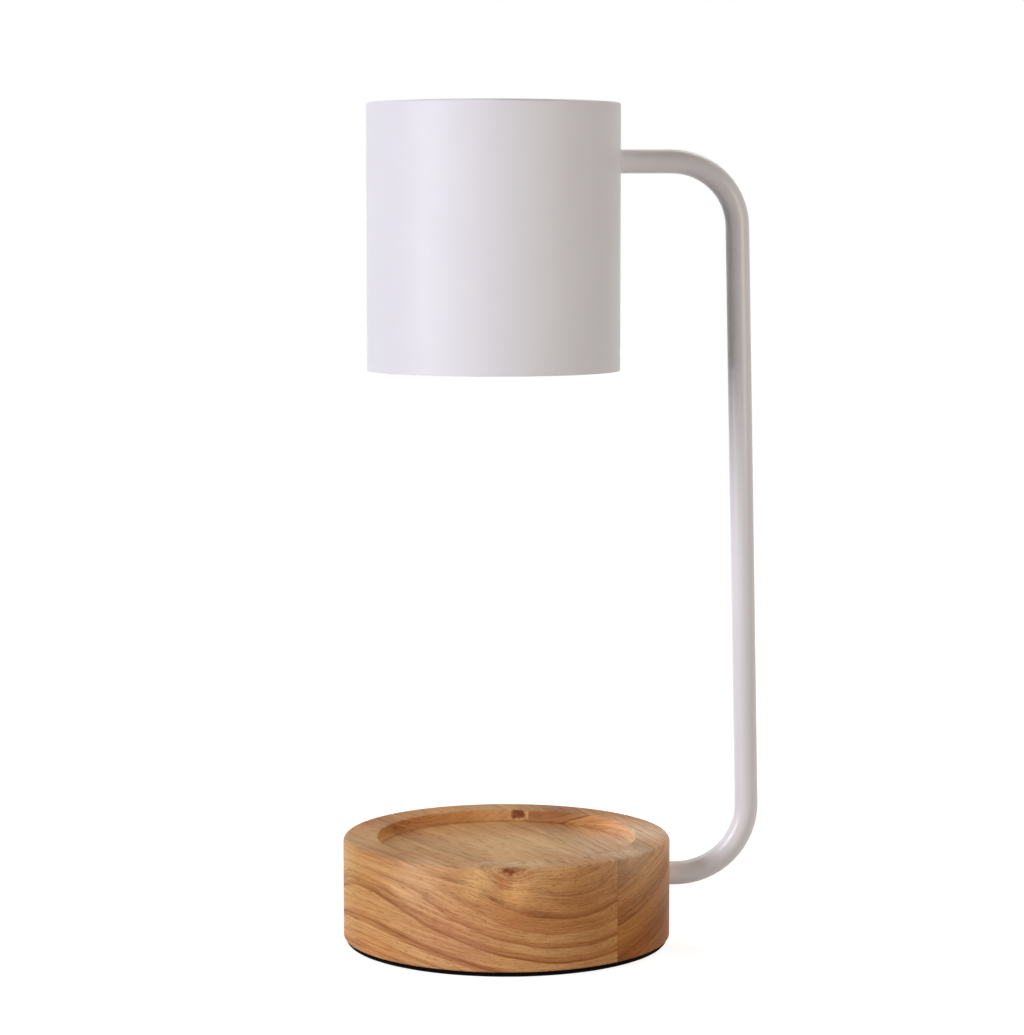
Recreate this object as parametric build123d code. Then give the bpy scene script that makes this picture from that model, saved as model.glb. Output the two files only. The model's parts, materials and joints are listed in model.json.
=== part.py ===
from build123d import *

import math
import os

# A table lamp that melts a candle from above: a turned wood base with a shallow seat for the jar, a bent
# steel tube rising beside it, and a cylindrical metal shade with a twist-lock reflector bulb inside.
# Millimetres. The origin is the centre of the base's underside, +Z is up and +X points to the arm's post.

# ---- Driving dimensions ----

# Wood base
BASE_DIAMETER = 140.0
WOOD_HEIGHT = 43.0
TOP_EDGE_ROUND = 2.0
BOTTOM_EDGE_ROUND = 0.8
SEAT_DIAMETER = 111.0            # the candle jar's seat, turned into the top
SEAT_DEPTH = 5.0
SEAT_CORNER_ROUND = 1.5
SEAT_RIM_ROUND = 0.6
SEAT_FLOOR_THICKNESS = 5.0       # wood between the jar's seat and the wiring pocket
POCKET_WALL_X = 34.0             # wood from the side to the pocket, across the arm's end
POCKET_WALL_Y = 38.0
POCKET_CORNER_ROUND = 10.0
ARM_SOCKET_DEPTH = 22.0          # how far the arm's tube goes into the side

# Foot pad and counterweight
PAD_THICKNESS = 2.0
PAD_INSET = 1.0
WEIGHT_THICKNESS = 6.0
WEIGHT_RIM = 14.0                # wood ring left round the counterweight
WEIGHT_CLEARANCE = 0.5
WEIGHT_SCREW_COUNT = 3
WEIGHT_SCREW_INSET = 6.0
WEIGHT_SCREW_LENGTH = 14.0
WEIGHT_SCREW_RADIUS = 1.9
WEIGHT_SCREW_HEAD_RADIUS = 4.0
WEIGHT_SCREW_HEAD_HEIGHT = 2.2
FIRST_SCREW_ANGLE = 30.0
SCREW_TIP_RADIUS = 0.2

# Cord inlet in the back of the base
INLET_HEIGHT = 18.0
CORD_HOLE_DIAMETER = 6.5
GROMMET_STEM_DIAMETER = 10.0
GROMMET_STEM_LENGTH = 14.0
GROMMET_FLANGE_DIAMETER = 13.0
GROMMET_FLANGE_THICKNESS = 1.7
GROMMET_RECESS = 0.2

# Arm
TUBE_DIAMETER = 10.0
TUBE_WALL = 1.0
LOWER_STUB = 2.3                 # straight tube between the base's side and the lower bend
LOWER_BEND_RADIUS = 30.5
UPPER_BEND_RADIUS = 27.6
POST_LEAN = 1.29                 # degrees that the post leans in over the base

# Shade
LAMP_HEIGHT = 356.5
SHADE_DIAMETER = 107.0
SHADE_HEIGHT = 112.0
SHADE_WALL = 1.0
SHADE_X = -5.4                   # the shade hangs a little past the base's centre
SHADE_TOP_ROUND = 0.8
ARM_BELOW_SHADE_TOP = 24.3
VENT_COUNT = 12
VENT_DIAMETER = 5.0
VENT_CIRCLE_RADIUS = 32.0

# Threaded nipples, their nuts and bushings, alike at both ends of the arm
NIPPLE_GRIP = 9.0                # length inside the tube
NIPPLE_WALL = 0.8
NIPPLE_PROUD = 2.0               # length past the nut
NUT_ACROSS_FLATS = 12.0
NUT_THICKNESS = 4.5
NUT_HEADROOM = 0.7
LOCK_WASHER_RADIUS = 6.0
LOCK_WASHER_THICKNESS = 1.0
LOCK_WASHER_SPLIT = 0.8
SADDLE_WASHER_RADIUS = 7.0
SADDLE_WASHER_THICKNESS = 2.0
BUSHING_WALL = 0.5
BUSHING_STEM_LENGTH = 5.0
BUSHING_FLANGE_THICKNESS = 1.2

# Wires and terminal block
WIRE_DIAMETER = 1.6
WIRE_GAP = 0.1                   # between the two wires in the tube
WIRE_BEND_RADIUS = 5.0
WIRE_SWERVE_RADIUS = 10.0
WIRE_STRAIGHT = 4.0              # straight wire before it swerves to its terminal
LEAD_ROOM = 18.0                 # from the bushing to the terminal block
BLOCK_LENGTH = 17.0
BLOCK_WIDTH = 17.0
BLOCK_HEIGHT = 13.0
BLOCK_EDGE_ROUND = 1.5
POLE_PITCH = 9.0
SLEEVE_RADIUS = 2.4
SLEEVE_BORE_RADIUS = 1.3
SLEEVE_RECESS = 1.5
SLEEVE_WIRE_DEPTH = 6.0
CLAMP_SCREW_RADIUS = 1.2
CLAMP_SCREW_SPACING = 8.0
CLAMP_SCREW_RECESS = 1.0
CLAMP_SCREW_SLOT_WIDTH = 0.4
CLAMP_SCREW_SLOT_DEPTH = 0.8
FIXING_SCREW_RADIUS = 1.4
FIXING_SCREW_HEAD_RADIUS = 2.7
FIXING_SCREW_HEAD_HEIGHT = 1.8
FIXING_SCREW_BITE = 3.5

# Bracket and twist-lock holder
BRACKET_THICKNESS = 1.5
BRACKET_WIDTH = 12.0
BRACKET_BEND_ROUND = 1.0
BRACKET_END = 3.5                # strip past the far holder screw
BRACKET_ABOVE_ARM = 9.0
BRACKET_HEADROOM = 1.2           # between the nut and the strip below it
HOLDER_DIAMETER = 32.0
HOLDER_HEIGHT = 14.0
HOLDER_FACE_THICKNESS = 2.4
HOLDER_CAVITY_RADIUS = 9.0
HOLDER_EDGE_ROUND = 1.5
CAP_HEIGHT = 6.0
CAP_EDGE_ROUND = 1.0
HOLDER_SCREW_RADIUS = 1.5
HOLDER_SCREW_HEAD_RADIUS = 2.75
HOLDER_SCREW_HEAD_HEIGHT = 2.0
HOLDER_SCREW_BITE = 7.0
HOLDER_SCREW_OFFSET = 12.5
TERMINAL_OFFSET = 7.5            # of the wires from the holder's axis
CONTACT_THICKNESS = 0.6
CONTACT_INNER_EDGE = 2.0
CONTACT_BACK = 3.0
CONTACT_FRONT = 4.9
CONTACT_TAB_WIDTH = 5.0
CONTACT_TAB_BITE = 2.0
CONTACT_WIRE_END = 2.5           # the wire stops this far above the contact's blade

# Reflector bulb with two footed pins
BULB_DIAMETER = 50.0
BULB_LENGTH = 46.5
REFLECTOR_DEPTH = 28.0
REFLECTOR_CURVE_RADIUS = 33.0
REFLECTOR_WALL = 1.6
REFLECTOR_RIM_HEIGHT = 3.0
REFLECTOR_LIP_WALL = 1.2
FRONT_GLASS_THICKNESS = 1.8
FRONT_GLASS_INSET = 0.2
NECK_TOP_DIAMETER = 23.0
NECK_STRAIGHT = 9.0
CAPSULE_RADIUS = 5.0
CAPSULE_WALL = 0.8
CAPSULE_TIP = 12.0               # from the bulb's face
CAPSULE_LENGTH = 14.0
CAPSULE_TIP_ROUND = 3.0
CAPSULE_TIP_WALL = 2.5           # the sealed tip is thicker than the wall
PINCH_LENGTH = 10.0
PINCH_WIDTH = 8.0
PINCH_THICKNESS = 3.0
FILAMENT_RADIUS = 0.7
FILAMENT_LENGTH = 5.0
FILAMENT_LEAD_RADIUS = 0.2
FILAMENT_LEAD_LENGTH = 7.0
PIN_SPACING = 10.0
PIN_RADIUS = 1.5
PIN_ROOT = 4.5                   # length of each pin inside the neck
PIN_FOOT_RADIUS = 2.4
PIN_FOOT_THICKNESS = 1.8
BULB_TWIST = 30.0                # degrees from locked to free

# Clearances
SNUG = 0.05                      # between pieces that are pressed, glued or screwed together
LOOSE = 0.2                      # round a screw or nipple that passes through
BULB_SEAT_GAP = 0.2
PIN_LIP_GAP = 0.1
SLOT_CLEARANCE = 0.3
OVERCUT = 1.0                    # how far a cut runs past the face it starts from

# ---- Derived places ----

base_radius = BASE_DIAMETER / 2
seat_radius = SEAT_DIAMETER / 2
wood_top = PAD_THICKNESS + WOOD_HEIGHT
seat_floor = wood_top - SEAT_DEPTH
pocket_ceiling = seat_floor - SEAT_FLOOR_THICKNESS
pocket_x = base_radius - POCKET_WALL_X
pocket_y = base_radius - POCKET_WALL_Y
weight_radius = base_radius - WEIGHT_RIM
weight_top = PAD_THICKNESS + WEIGHT_THICKNESS
weight_screw_circle = weight_radius - WEIGHT_SCREW_INSET

grommet_flange = GROMMET_FLANGE_DIAMETER / 2
grommet_stem = GROMMET_STEM_DIAMETER / 2
grommet_face = math.sqrt(base_radius**2 - grommet_flange**2) - GROMMET_RECESS
grommet_seat = grommet_face - GROMMET_FLANGE_THICKNESS
grommet_end = grommet_seat - GROMMET_STEM_LENGTH

tube_radius = TUBE_DIAMETER / 2
tube_bore = tube_radius - TUBE_WALL
nipple_radius = tube_bore - SNUG
nipple_bore = nipple_radius - NIPPLE_WALL
bushing_radius = nipple_bore - SNUG
bushing_bore = bushing_radius - BUSHING_WALL

lower_z = pocket_ceiling - NUT_ACROSS_FLATS / 2 - NUT_HEADROOM
upper_z = LAMP_HEIGHT - ARM_BELOW_SHADE_TOP
lean = math.radians(POST_LEAN)
foot_x = base_radius + LOWER_STUB + LOWER_BEND_RADIUS * math.tan((math.pi / 2 + lean) / 2)
head_x = foot_x - (upper_z - lower_z) * math.tan(lean)
tube_start = base_radius - ARM_SOCKET_DEPTH

shade_radius = SHADE_DIAMETER / 2
shade_inside = shade_radius - SHADE_WALL
shade_bottom = LAMP_HEIGHT - SHADE_HEIGHT
shade_side_x = SHADE_X + shade_radius
saddle_face = SHADE_X + shade_inside - SNUG - SADDLE_WASHER_THICKNESS
bracket_face = saddle_face - BRACKET_THICKNESS

base_nut_seat = pocket_x - LOCK_WASHER_THICKNESS
base_nipple_end = base_nut_seat - NUT_THICKNESS - NIPPLE_PROUD
shade_nut_seat = bracket_face - LOCK_WASHER_THICKNESS
shade_nipple_end = shade_nut_seat - NUT_THICKNESS - NIPPLE_PROUD

wire_radius = WIRE_DIAMETER / 2
wire_offset = wire_radius + WIRE_GAP / 2
pole_y = POLE_PITCH / 2
block_right = base_nipple_end - BUSHING_FLANGE_THICKNESS - LEAD_ROOM
block_left = block_right - BLOCK_LENGTH
block_x = block_right - BLOCK_LENGTH / 2
block_bottom = pocket_ceiling - BLOCK_HEIGHT

strip_top = upper_z - NUT_ACROSS_FLATS / 2 - BRACKET_HEADROOM
cap_top = strip_top - BRACKET_THICKNESS
cap_bottom = cap_top - CAP_HEIGHT
holder_face = cap_bottom - HOLDER_HEIGHT
cavity_floor = holder_face + HOLDER_FACE_THICKNESS
holder_radius = HOLDER_DIAMETER / 2

bulb_top = holder_face - BULB_SEAT_GAP
bulb_face = bulb_top - BULB_LENGTH
bulb_radius = BULB_DIAMETER / 2
curve_axis = bulb_radius - REFLECTOR_CURVE_RADIUS
pin_circle = PIN_SPACING / 2
foot_bottom = cavity_floor + PIN_LIP_GAP
foot_top = foot_bottom + PIN_FOOT_THICKNESS
blade_bottom = foot_top + PIN_LIP_GAP
blade_top = blade_bottom + CONTACT_THICKNESS
pinch_start = bulb_face + CAPSULE_TIP + CAPSULE_LENGTH

FROM_BASE = (Align.CENTER, Align.CENTER, Align.MIN)


# ---- Building blocks ----


def same(a, b):
    """Whether two sizes are the same, but for rounding."""
    return abs(a - b) < 1e-3


def upright(radius, low, high, x=0.0, y=0.0):
    """A cylinder along Z, between two heights."""
    return Pos(x, y, low) * Cylinder(radius, high - low, align=FROM_BASE)


def along_x(radius, low, high, z, y=0.0):
    """A cylinder along X, between two places."""
    return Pos(low, y, z) * Rot(0, 90, 0) * Cylinder(radius, high - low, align=FROM_BASE)


def along_y(radius, low, high, z, x=0.0):
    """A cylinder along Y, between two places."""
    return Pos(x, low, z) * Rot(-90, 0, 0) * Cylinder(radius, high - low, align=FROM_BASE)


def block(low, high):
    """A box between two opposite corners."""
    size = [b - a for a, b in zip(low, high)]
    return Pos(*low) * Box(*size, align=(Align.MIN, Align.MIN, Align.MIN))


def ring_edges(part, radius, z):
    """The circular edges of one radius at one height."""
    circles = part.edges().filter_by(GeomType.CIRCLE)
    return [edge for edge in circles if same(edge.radius, radius) and same(edge.arc_center.Z, z)]


def cross_edges(part, x, z):
    """The straight edges along Y at one place."""
    across = part.edges().filter_by(Axis.Y)
    return [edge for edge in across if same(edge.center().X, x) and same(edge.center().Z, z)]


def turned(points, x):
    """A solid turned about a vertical axis at x from (radius, height) points."""
    outline = make_face(Polyline(*[(radius, 0, z) for radius, z in points], close=True))
    return Pos(x, 0, 0) * revolve(outline, axis=Axis.Z)


def swept_rod(path, radius):
    """A round rod along a path."""
    section = Plane(origin=path @ 0, z_dir=path % 0) * Circle(radius)
    return sweep(section, path=path)


def cross_slot(radius, z_low, z_high):
    """The driver's cross in a screw head, in proportion to the head."""
    reach, half_width = 0.7 * radius, 0.15 * radius
    return (block((-reach, -half_width, z_low), (reach, half_width, z_high))
            + block((-half_width, -reach, z_low), (half_width, reach, z_high)))


def pan_screw(head_radius, head_height, shank_radius, length):
    """A pan-head screw: head above z = 0, shank below it."""
    head = upright(head_radius, 0, head_height)
    head = fillet(ring_edges(head, head_radius, head_height), 0.4 * head_height)
    shank = upright(shank_radius, -length, 0)
    return head + shank - cross_slot(head_radius, 0.5 * head_height, head_height + OVERCUT)


def countersunk_screw():
    """A countersunk wood screw standing point up, its head's face at z = 0."""
    head = Cone(WEIGHT_SCREW_HEAD_RADIUS, WEIGHT_SCREW_RADIUS, WEIGHT_SCREW_HEAD_HEIGHT,
                align=FROM_BASE)
    tip = WEIGHT_SCREW_LENGTH - 2 * WEIGHT_SCREW_RADIUS
    shank = upright(WEIGHT_SCREW_RADIUS, WEIGHT_SCREW_HEAD_HEIGHT, tip)
    point = Cone(WEIGHT_SCREW_RADIUS, SCREW_TIP_RADIUS, 2 * WEIGHT_SCREW_RADIUS, align=FROM_BASE)
    screw = head + shank + Pos(0, 0, tip) * point
    return screw - cross_slot(WEIGHT_SCREW_HEAD_RADIUS, -OVERCUT, 0.5 * WEIGHT_SCREW_HEAD_HEIGHT)


def weight_screw_places():
    """The counterweight's screws, evenly spaced on their circle."""
    for number in range(WEIGHT_SCREW_COUNT):
        angle = math.radians(FIRST_SCREW_ANGLE + 360 * number / WEIGHT_SCREW_COUNT)
        yield weight_screw_circle * math.cos(angle), weight_screw_circle * math.sin(angle)


# ---- Base ----


def base_body():
    """The turned wood: seat on top, counterweight recess and wiring pocket below."""
    wood = upright(base_radius, PAD_THICKNESS, wood_top)
    wood -= upright(seat_radius, seat_floor, wood_top + OVERCUT)
    wood = fillet(ring_edges(wood, base_radius, wood_top), TOP_EDGE_ROUND)
    wood = fillet(ring_edges(wood, base_radius, PAD_THICKNESS), BOTTOM_EDGE_ROUND)
    wood = fillet(ring_edges(wood, seat_radius, wood_top), SEAT_RIM_ROUND)
    wood = fillet(ring_edges(wood, seat_radius, seat_floor), SEAT_CORNER_ROUND)
    wood -= upright(weight_radius + WEIGHT_CLEARANCE, PAD_THICKNESS - OVERCUT, weight_top)
    pocket = RectangleRounded(2 * pocket_x, 2 * pocket_y, POCKET_CORNER_ROUND)
    wood -= Pos(0, 0, PAD_THICKNESS) * extrude(pocket, amount=pocket_ceiling - PAD_THICKNESS)
    wood -= along_x(tube_radius + SNUG, tube_start, base_radius + OVERCUT, lower_z)
    wood -= along_x(nipple_radius + LOOSE, pocket_x - OVERCUT, tube_start + OVERCUT, lower_z)
    wood -= along_y(grommet_stem + SNUG, pocket_y - OVERCUT, base_radius, INLET_HEIGHT)
    wood -= along_y(grommet_flange + SNUG, grommet_seat, base_radius + OVERCUT, INLET_HEIGHT)
    pilot_top = PAD_THICKNESS + WEIGHT_SCREW_LENGTH + SNUG
    for x, y in weight_screw_places():
        wood -= upright(WEIGHT_SCREW_RADIUS + SNUG, PAD_THICKNESS, pilot_top, x, y)
    bite = pocket_ceiling + FIXING_SCREW_BITE + SNUG
    wood -= upright(FIXING_SCREW_RADIUS + SNUG, pocket_ceiling - OVERCUT, bite, block_x)
    return wood


def foot_pad():
    """The black foam pad glued under the wood; the lamp stands on it."""
    return upright(base_radius - PAD_INSET, 0, PAD_THICKNESS)


def counterweight():
    """The steel disc sunk in the underside, which also closes the wiring pocket."""
    disc = upright(weight_radius, PAD_THICKNESS, weight_top)
    mouth = WEIGHT_SCREW_HEAD_RADIUS + SNUG
    throat = WEIGHT_SCREW_RADIUS + SNUG
    for x, y in weight_screw_places():
        disc -= upright(throat, PAD_THICKNESS - OVERCUT, weight_top + OVERCUT, x, y)
        disc -= Pos(x, y, PAD_THICKNESS) * Cone(mouth, throat, WEIGHT_SCREW_HEAD_HEIGHT, align=FROM_BASE)
    return disc


def counterweight_screws():
    """The wood screws that hold the counterweight."""
    return Part() + [Pos(x, y, PAD_THICKNESS) * countersunk_screw() for x, y in weight_screw_places()]


def cord_grommet():
    """The rubber bushing of the cord's inlet, flush with the base's back."""
    grommet = along_y(grommet_stem, grommet_end, grommet_seat, INLET_HEIGHT)
    grommet += along_y(grommet_flange, grommet_seat, grommet_face, INLET_HEIGHT)
    hole = along_y(CORD_HOLE_DIAMETER / 2, grommet_end - OVERCUT, grommet_face + OVERCUT, INLET_HEIGHT)
    return grommet - hole


# ---- Arm and what fastens it ----


def arm_route(start_x, end_x, y=0.0):
    """The arm's centreline: out of the base, up the leaning post and back to the shade."""
    corners = [(start_x, y, lower_z), (foot_x, y, lower_z), (head_x, y, upper_z), (end_x, y, upper_z)]
    return FilletPolyline(*corners, radius=[LOWER_BEND_RADIUS, UPPER_BEND_RADIUS])


def arm_tube():
    """The bent steel tube, its upper end coped to the shade's side."""
    path = arm_route(tube_start, shade_side_x - tube_radius)
    tube = swept_rod(path, tube_radius) - swept_rod(path, tube_bore)
    return tube - upright(shade_radius + SNUG, shade_bottom, LAMP_HEIGHT, SHADE_X)


def nipple(inner_end, outer_end, z):
    """A threaded hollow nipple, between its inner end and its end in the tube."""
    bore = along_x(nipple_bore, inner_end - OVERCUT, outer_end + OVERCUT, z)
    return along_x(nipple_radius, inner_end, outer_end, z) - bore


def nut(seat, z):
    """A hexagon nut with its outer face at seat, flats above and below."""
    hexagon = extrude(RegularPolygon(NUT_ACROSS_FLATS / 2, 6, major_radius=False), amount=NUT_THICKNESS)
    body = Pos(seat - NUT_THICKNESS, 0, z) * Rot(0, 90, 0) * Rot(0, 0, 90) * hexagon
    return body - along_x(nipple_radius + SNUG, seat - NUT_THICKNESS - OVERCUT, seat + OVERCUT, z)


def lock_washer(seat, z):
    """A split spring washer with its outer face at seat."""
    inner = seat - LOCK_WASHER_THICKNESS
    ring = along_x(LOCK_WASHER_RADIUS, inner, seat, z)
    ring -= along_x(nipple_radius + 2 * SNUG, inner - OVERCUT, seat + OVERCUT, z)
    split = LOCK_WASHER_SPLIT / 2
    past_rim = z + LOCK_WASHER_RADIUS + OVERCUT
    return ring - block((inner - OVERCUT, -split, z), (seat + OVERCUT, split, past_rim))


def bushing(mouth, z):
    """The plastic bushing pushed into a nipple's inner end, so its edge can't cut the wires."""
    body = along_x(bushing_radius, mouth, mouth + BUSHING_STEM_LENGTH, z)
    body += along_x(nipple_radius - SNUG, mouth - BUSHING_FLANGE_THICKNESS, mouth, z)
    start, end = mouth - BUSHING_FLANGE_THICKNESS - OVERCUT, mouth + BUSHING_STEM_LENGTH + OVERCUT
    return body - along_x(bushing_bore, start, end, z)


def base_nipple():
    """Joins the arm's tube to the wood."""
    return nipple(base_nipple_end, tube_start + NIPPLE_GRIP, lower_z)


def shade_nipple():
    """Joins the arm's tube to the shade."""
    return nipple(shade_nipple_end, shade_side_x + NIPPLE_GRIP, upper_z)


def nipple_nuts():
    """The two nuts on the nipples."""
    return Part() + [nut(base_nut_seat, lower_z), nut(shade_nut_seat, upper_z)]


def nipple_lock_washers():
    """The two spring washers under the nuts."""
    return Part() + [lock_washer(pocket_x, lower_z), lock_washer(bracket_face, upper_z)]


def wire_bushings():
    """The two bushings in the nipples."""
    return Part() + [bushing(base_nipple_end, lower_z), bushing(shade_nipple_end, upper_z)]


# ---- Wiring ----


def terminal_block():
    """The two-pole nylon block screwed to the pocket's ceiling."""
    body = block((block_left, -BLOCK_WIDTH / 2, block_bottom), (block_right, BLOCK_WIDTH / 2, pocket_ceiling))
    body = fillet(body.edges().filter_by(Axis.Z), BLOCK_EDGE_ROUND)
    low = block_bottom - OVERCUT
    for y in (-pole_y, pole_y):
        body -= along_x(SLEEVE_RADIUS + SNUG, block_left - OVERCUT, block_right + OVERCUT, lower_z, y)
        for x in clamp_screw_places():
            body -= upright(CLAMP_SCREW_RADIUS + LOOSE, low, lower_z, x, y)
    return body - upright(FIXING_SCREW_RADIUS + LOOSE, low, pocket_ceiling + OVERCUT, block_x)


def clamp_screw_places():
    """Where along the block the clamp screws sit."""
    return block_x - CLAMP_SCREW_SPACING / 2, block_x + CLAMP_SCREW_SPACING / 2


def terminal_sleeves():
    """The brass sleeves in the terminal block."""
    start, end = block_left + SLEEVE_RECESS, block_right - SLEEVE_RECESS
    sleeves = []
    for y in (-pole_y, pole_y):
        sleeve = along_x(SLEEVE_RADIUS, start, end, lower_z, y)
        sleeve -= along_x(SLEEVE_BORE_RADIUS, start - OVERCUT, end + OVERCUT, lower_z, y)
        for x in clamp_screw_places():
            sleeve -= upright(CLAMP_SCREW_RADIUS + SNUG, lower_z - SLEEVE_RADIUS - OVERCUT, lower_z, x, y)
        sleeves.append(sleeve)
    return Part() + sleeves


def terminal_screws():
    """The clamp screws of the terminal block, worked from below."""
    low, tip = block_bottom + CLAMP_SCREW_RECESS, lower_z - wire_radius - SNUG
    half = CLAMP_SCREW_SLOT_WIDTH / 2
    driver_slot = block((-half, -CLAMP_SCREW_RADIUS, low - OVERCUT),
                        (half, CLAMP_SCREW_RADIUS, low + CLAMP_SCREW_SLOT_DEPTH))
    screw = upright(CLAMP_SCREW_RADIUS, low, tip) - driver_slot
    return Part() + [Pos(x, y, 0) * screw for y in (-pole_y, pole_y) for x in clamp_screw_places()]


def terminal_fixing_screw():
    """The screw that holds the terminal block to the wood."""
    screw = pan_screw(FIXING_SCREW_HEAD_RADIUS, FIXING_SCREW_HEAD_HEIGHT, FIXING_SCREW_RADIUS,
                      BLOCK_HEIGHT + FIXING_SCREW_BITE)
    return Pos(block_x, 0, block_bottom) * Rot(180, 0, 0) * screw


def wire(side):
    """One insulated wire from the terminal block, through the arm, to the bulb holder."""
    y_tube, y_pole, y_holder = side * wire_offset, side * pole_y, side * TERMINAL_OFFSET
    base_mouth = base_nipple_end - BUSHING_FLANGE_THICKNESS
    shade_mouth = shade_nipple_end - BUSHING_FLANGE_THICKNESS
    points = [
        (block_right - SLEEVE_RECESS - SLEEVE_WIRE_DEPTH, y_pole, lower_z),
        (block_right + WIRE_STRAIGHT, y_pole, lower_z),
        (base_mouth - WIRE_STRAIGHT, y_tube, lower_z),
        (foot_x, y_tube, lower_z),
        (head_x, y_tube, upper_z),
        (shade_mouth - WIRE_STRAIGHT, y_tube, upper_z),
        (SHADE_X + 2 * WIRE_BEND_RADIUS, y_holder, upper_z),
        (SHADE_X, y_holder, upper_z),
        (SHADE_X, y_holder, blade_top + CONTACT_WIRE_END),
    ]
    radii = [WIRE_SWERVE_RADIUS, WIRE_SWERVE_RADIUS, LOWER_BEND_RADIUS, UPPER_BEND_RADIUS,
             WIRE_SWERVE_RADIUS, WIRE_SWERVE_RADIUS, WIRE_BEND_RADIUS]
    path = FilletPolyline(*points, radius=radii)
    rod = swept_rod(path, wire_radius)
    expected = math.pi * wire_radius**2 * path.length
    print("wire length", round(path.length, 1), "mm, swept volume as expected times", round(rod.volume / expected, 5))
    return rod


def live_wire():
    """The live wire."""
    return wire(-1)


def neutral_wire():
    """The neutral wire."""
    return wire(1)


# ---- Shade and bulb holder ----


def shade_shell():
    """The painted metal shade: a can open below, with vents in its top."""
    can = upright(shade_radius, shade_bottom, LAMP_HEIGHT, SHADE_X)
    can = fillet(ring_edges(can, shade_radius, LAMP_HEIGHT), SHADE_TOP_ROUND)
    can -= upright(shade_inside, shade_bottom - OVERCUT, LAMP_HEIGHT - SHADE_WALL, SHADE_X)
    can -= along_x(nipple_radius + LOOSE, SHADE_X, shade_side_x + OVERCUT, upper_z)
    for number in range(VENT_COUNT):
        angle = 2 * math.pi * number / VENT_COUNT
        x, y = SHADE_X + VENT_CIRCLE_RADIUS * math.cos(angle), VENT_CIRCLE_RADIUS * math.sin(angle)
        can -= upright(VENT_DIAMETER / 2, LAMP_HEIGHT - 2 * SHADE_WALL, LAMP_HEIGHT + OVERCUT, x, y)
    return can


def shade_saddle_washer():
    """The washer that fills between the shade's curved wall and the flat bracket."""
    washer = along_x(SADDLE_WASHER_RADIUS, saddle_face, shade_side_x, upper_z)
    inside = upright(shade_inside - SNUG, shade_bottom, LAMP_HEIGHT, SHADE_X)
    return (washer & inside) - along_x(nipple_radius + LOOSE, saddle_face - OVERCUT, shade_side_x, upper_z)


def holder_screw_places():
    """Where the bulb holder's screws stand along the strip."""
    return SHADE_X - HOLDER_SCREW_OFFSET, SHADE_X + HOLDER_SCREW_OFFSET


def holder_bracket():
    """The steel strip clamped by the shade's nut, which carries the bulb holder."""
    half = BRACKET_WIDTH / 2
    far_end = SHADE_X - HOLDER_SCREW_OFFSET - BRACKET_END
    strip = block((far_end, -half, cap_top), (saddle_face, half, strip_top))
    strip += block((bracket_face, -half, cap_top), (saddle_face, half, upper_z + BRACKET_ABOVE_ARM))
    strip = fillet(cross_edges(strip, bracket_face, strip_top), BRACKET_BEND_ROUND)
    strip = fillet(cross_edges(strip, saddle_face, cap_top), BRACKET_BEND_ROUND + BRACKET_THICKNESS)
    strip -= along_x(nipple_radius + LOOSE, bracket_face - OVERCUT, saddle_face + OVERCUT, upper_z)
    for x in holder_screw_places():
        strip -= upright(HOLDER_SCREW_RADIUS + LOOSE, cap_top - OVERCUT, strip_top + OVERCUT, x)
    return strip


def holder_screws():
    """The screws through the strip and cap into the holder."""
    length = BRACKET_THICKNESS + CAP_HEIGHT + HOLDER_SCREW_BITE
    screw = pan_screw(HOLDER_SCREW_HEAD_RADIUS, HOLDER_SCREW_HEAD_HEIGHT, HOLDER_SCREW_RADIUS, length)
    return Part() + [Pos(x, 0, strip_top) * screw for x in holder_screw_places()]


def holder_body():
    """The ceramic bulb holder, with a keyhole slot for each footed pin."""
    body = upright(holder_radius, holder_face, cap_bottom, SHADE_X)
    body = fillet(ring_edges(body, holder_radius, holder_face), HOLDER_EDGE_ROUND)
    body -= upright(HOLDER_CAVITY_RADIUS, cavity_floor, cap_bottom + OVERCUT, SHADE_X)
    for rest_angle in (90, 270):
        free_angle = math.radians(rest_angle - BULB_TWIST)
        x, y = SHADE_X + pin_circle * math.cos(free_angle), pin_circle * math.sin(free_angle)
        keyhole = PIN_FOOT_RADIUS + SLOT_CLEARANCE
        body -= upright(keyhole, holder_face - OVERCUT, cavity_floor + OVERCUT, x, y)
        track = CenterArc((0, 0), pin_circle, rest_angle - BULB_TWIST, BULB_TWIST)
        slot = SlotArc(track, 2 * (PIN_RADIUS + SLOT_CLEARANCE))
        low = holder_face - OVERCUT
        body -= Pos(SHADE_X, 0, low) * extrude(slot, amount=HOLDER_FACE_THICKNESS + 2 * OVERCUT)
    bite = cap_bottom - HOLDER_SCREW_BITE - SNUG
    for x in holder_screw_places():
        body -= upright(HOLDER_SCREW_RADIUS + SNUG, bite, cap_bottom + OVERCUT, x)
    return body


def holder_cap():
    """The ceramic cover over the holder's contacts."""
    cap = upright(holder_radius, cap_bottom, cap_top, SHADE_X)
    cap = fillet(ring_edges(cap, holder_radius, cap_top), CAP_EDGE_ROUND)
    low, high = cap_bottom - OVERCUT, cap_top + OVERCUT
    for x in holder_screw_places():
        cap -= upright(HOLDER_SCREW_RADIUS + SNUG, low, high, x)
    for side in (-1, 1):
        cap -= upright(wire_radius + LOOSE, low, high, SHADE_X, side * TERMINAL_OFFSET)
        cap -= contact_tab(side, low, SNUG)
    return cap


def contact_tab(side, low, margin=0.0):
    """The upright tab of a contact, which stands in a slot of the cap beside its wire."""
    outer = TERMINAL_OFFSET - wire_radius
    near, far = sorted((side * (outer - CONTACT_THICKNESS - margin), side * (outer + margin)))
    half = CONTACT_TAB_WIDTH / 2 + margin
    top = cap_bottom + CONTACT_TAB_BITE + margin
    return block((SHADE_X - half, near, low), (SHADE_X + half, far, top))


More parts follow.
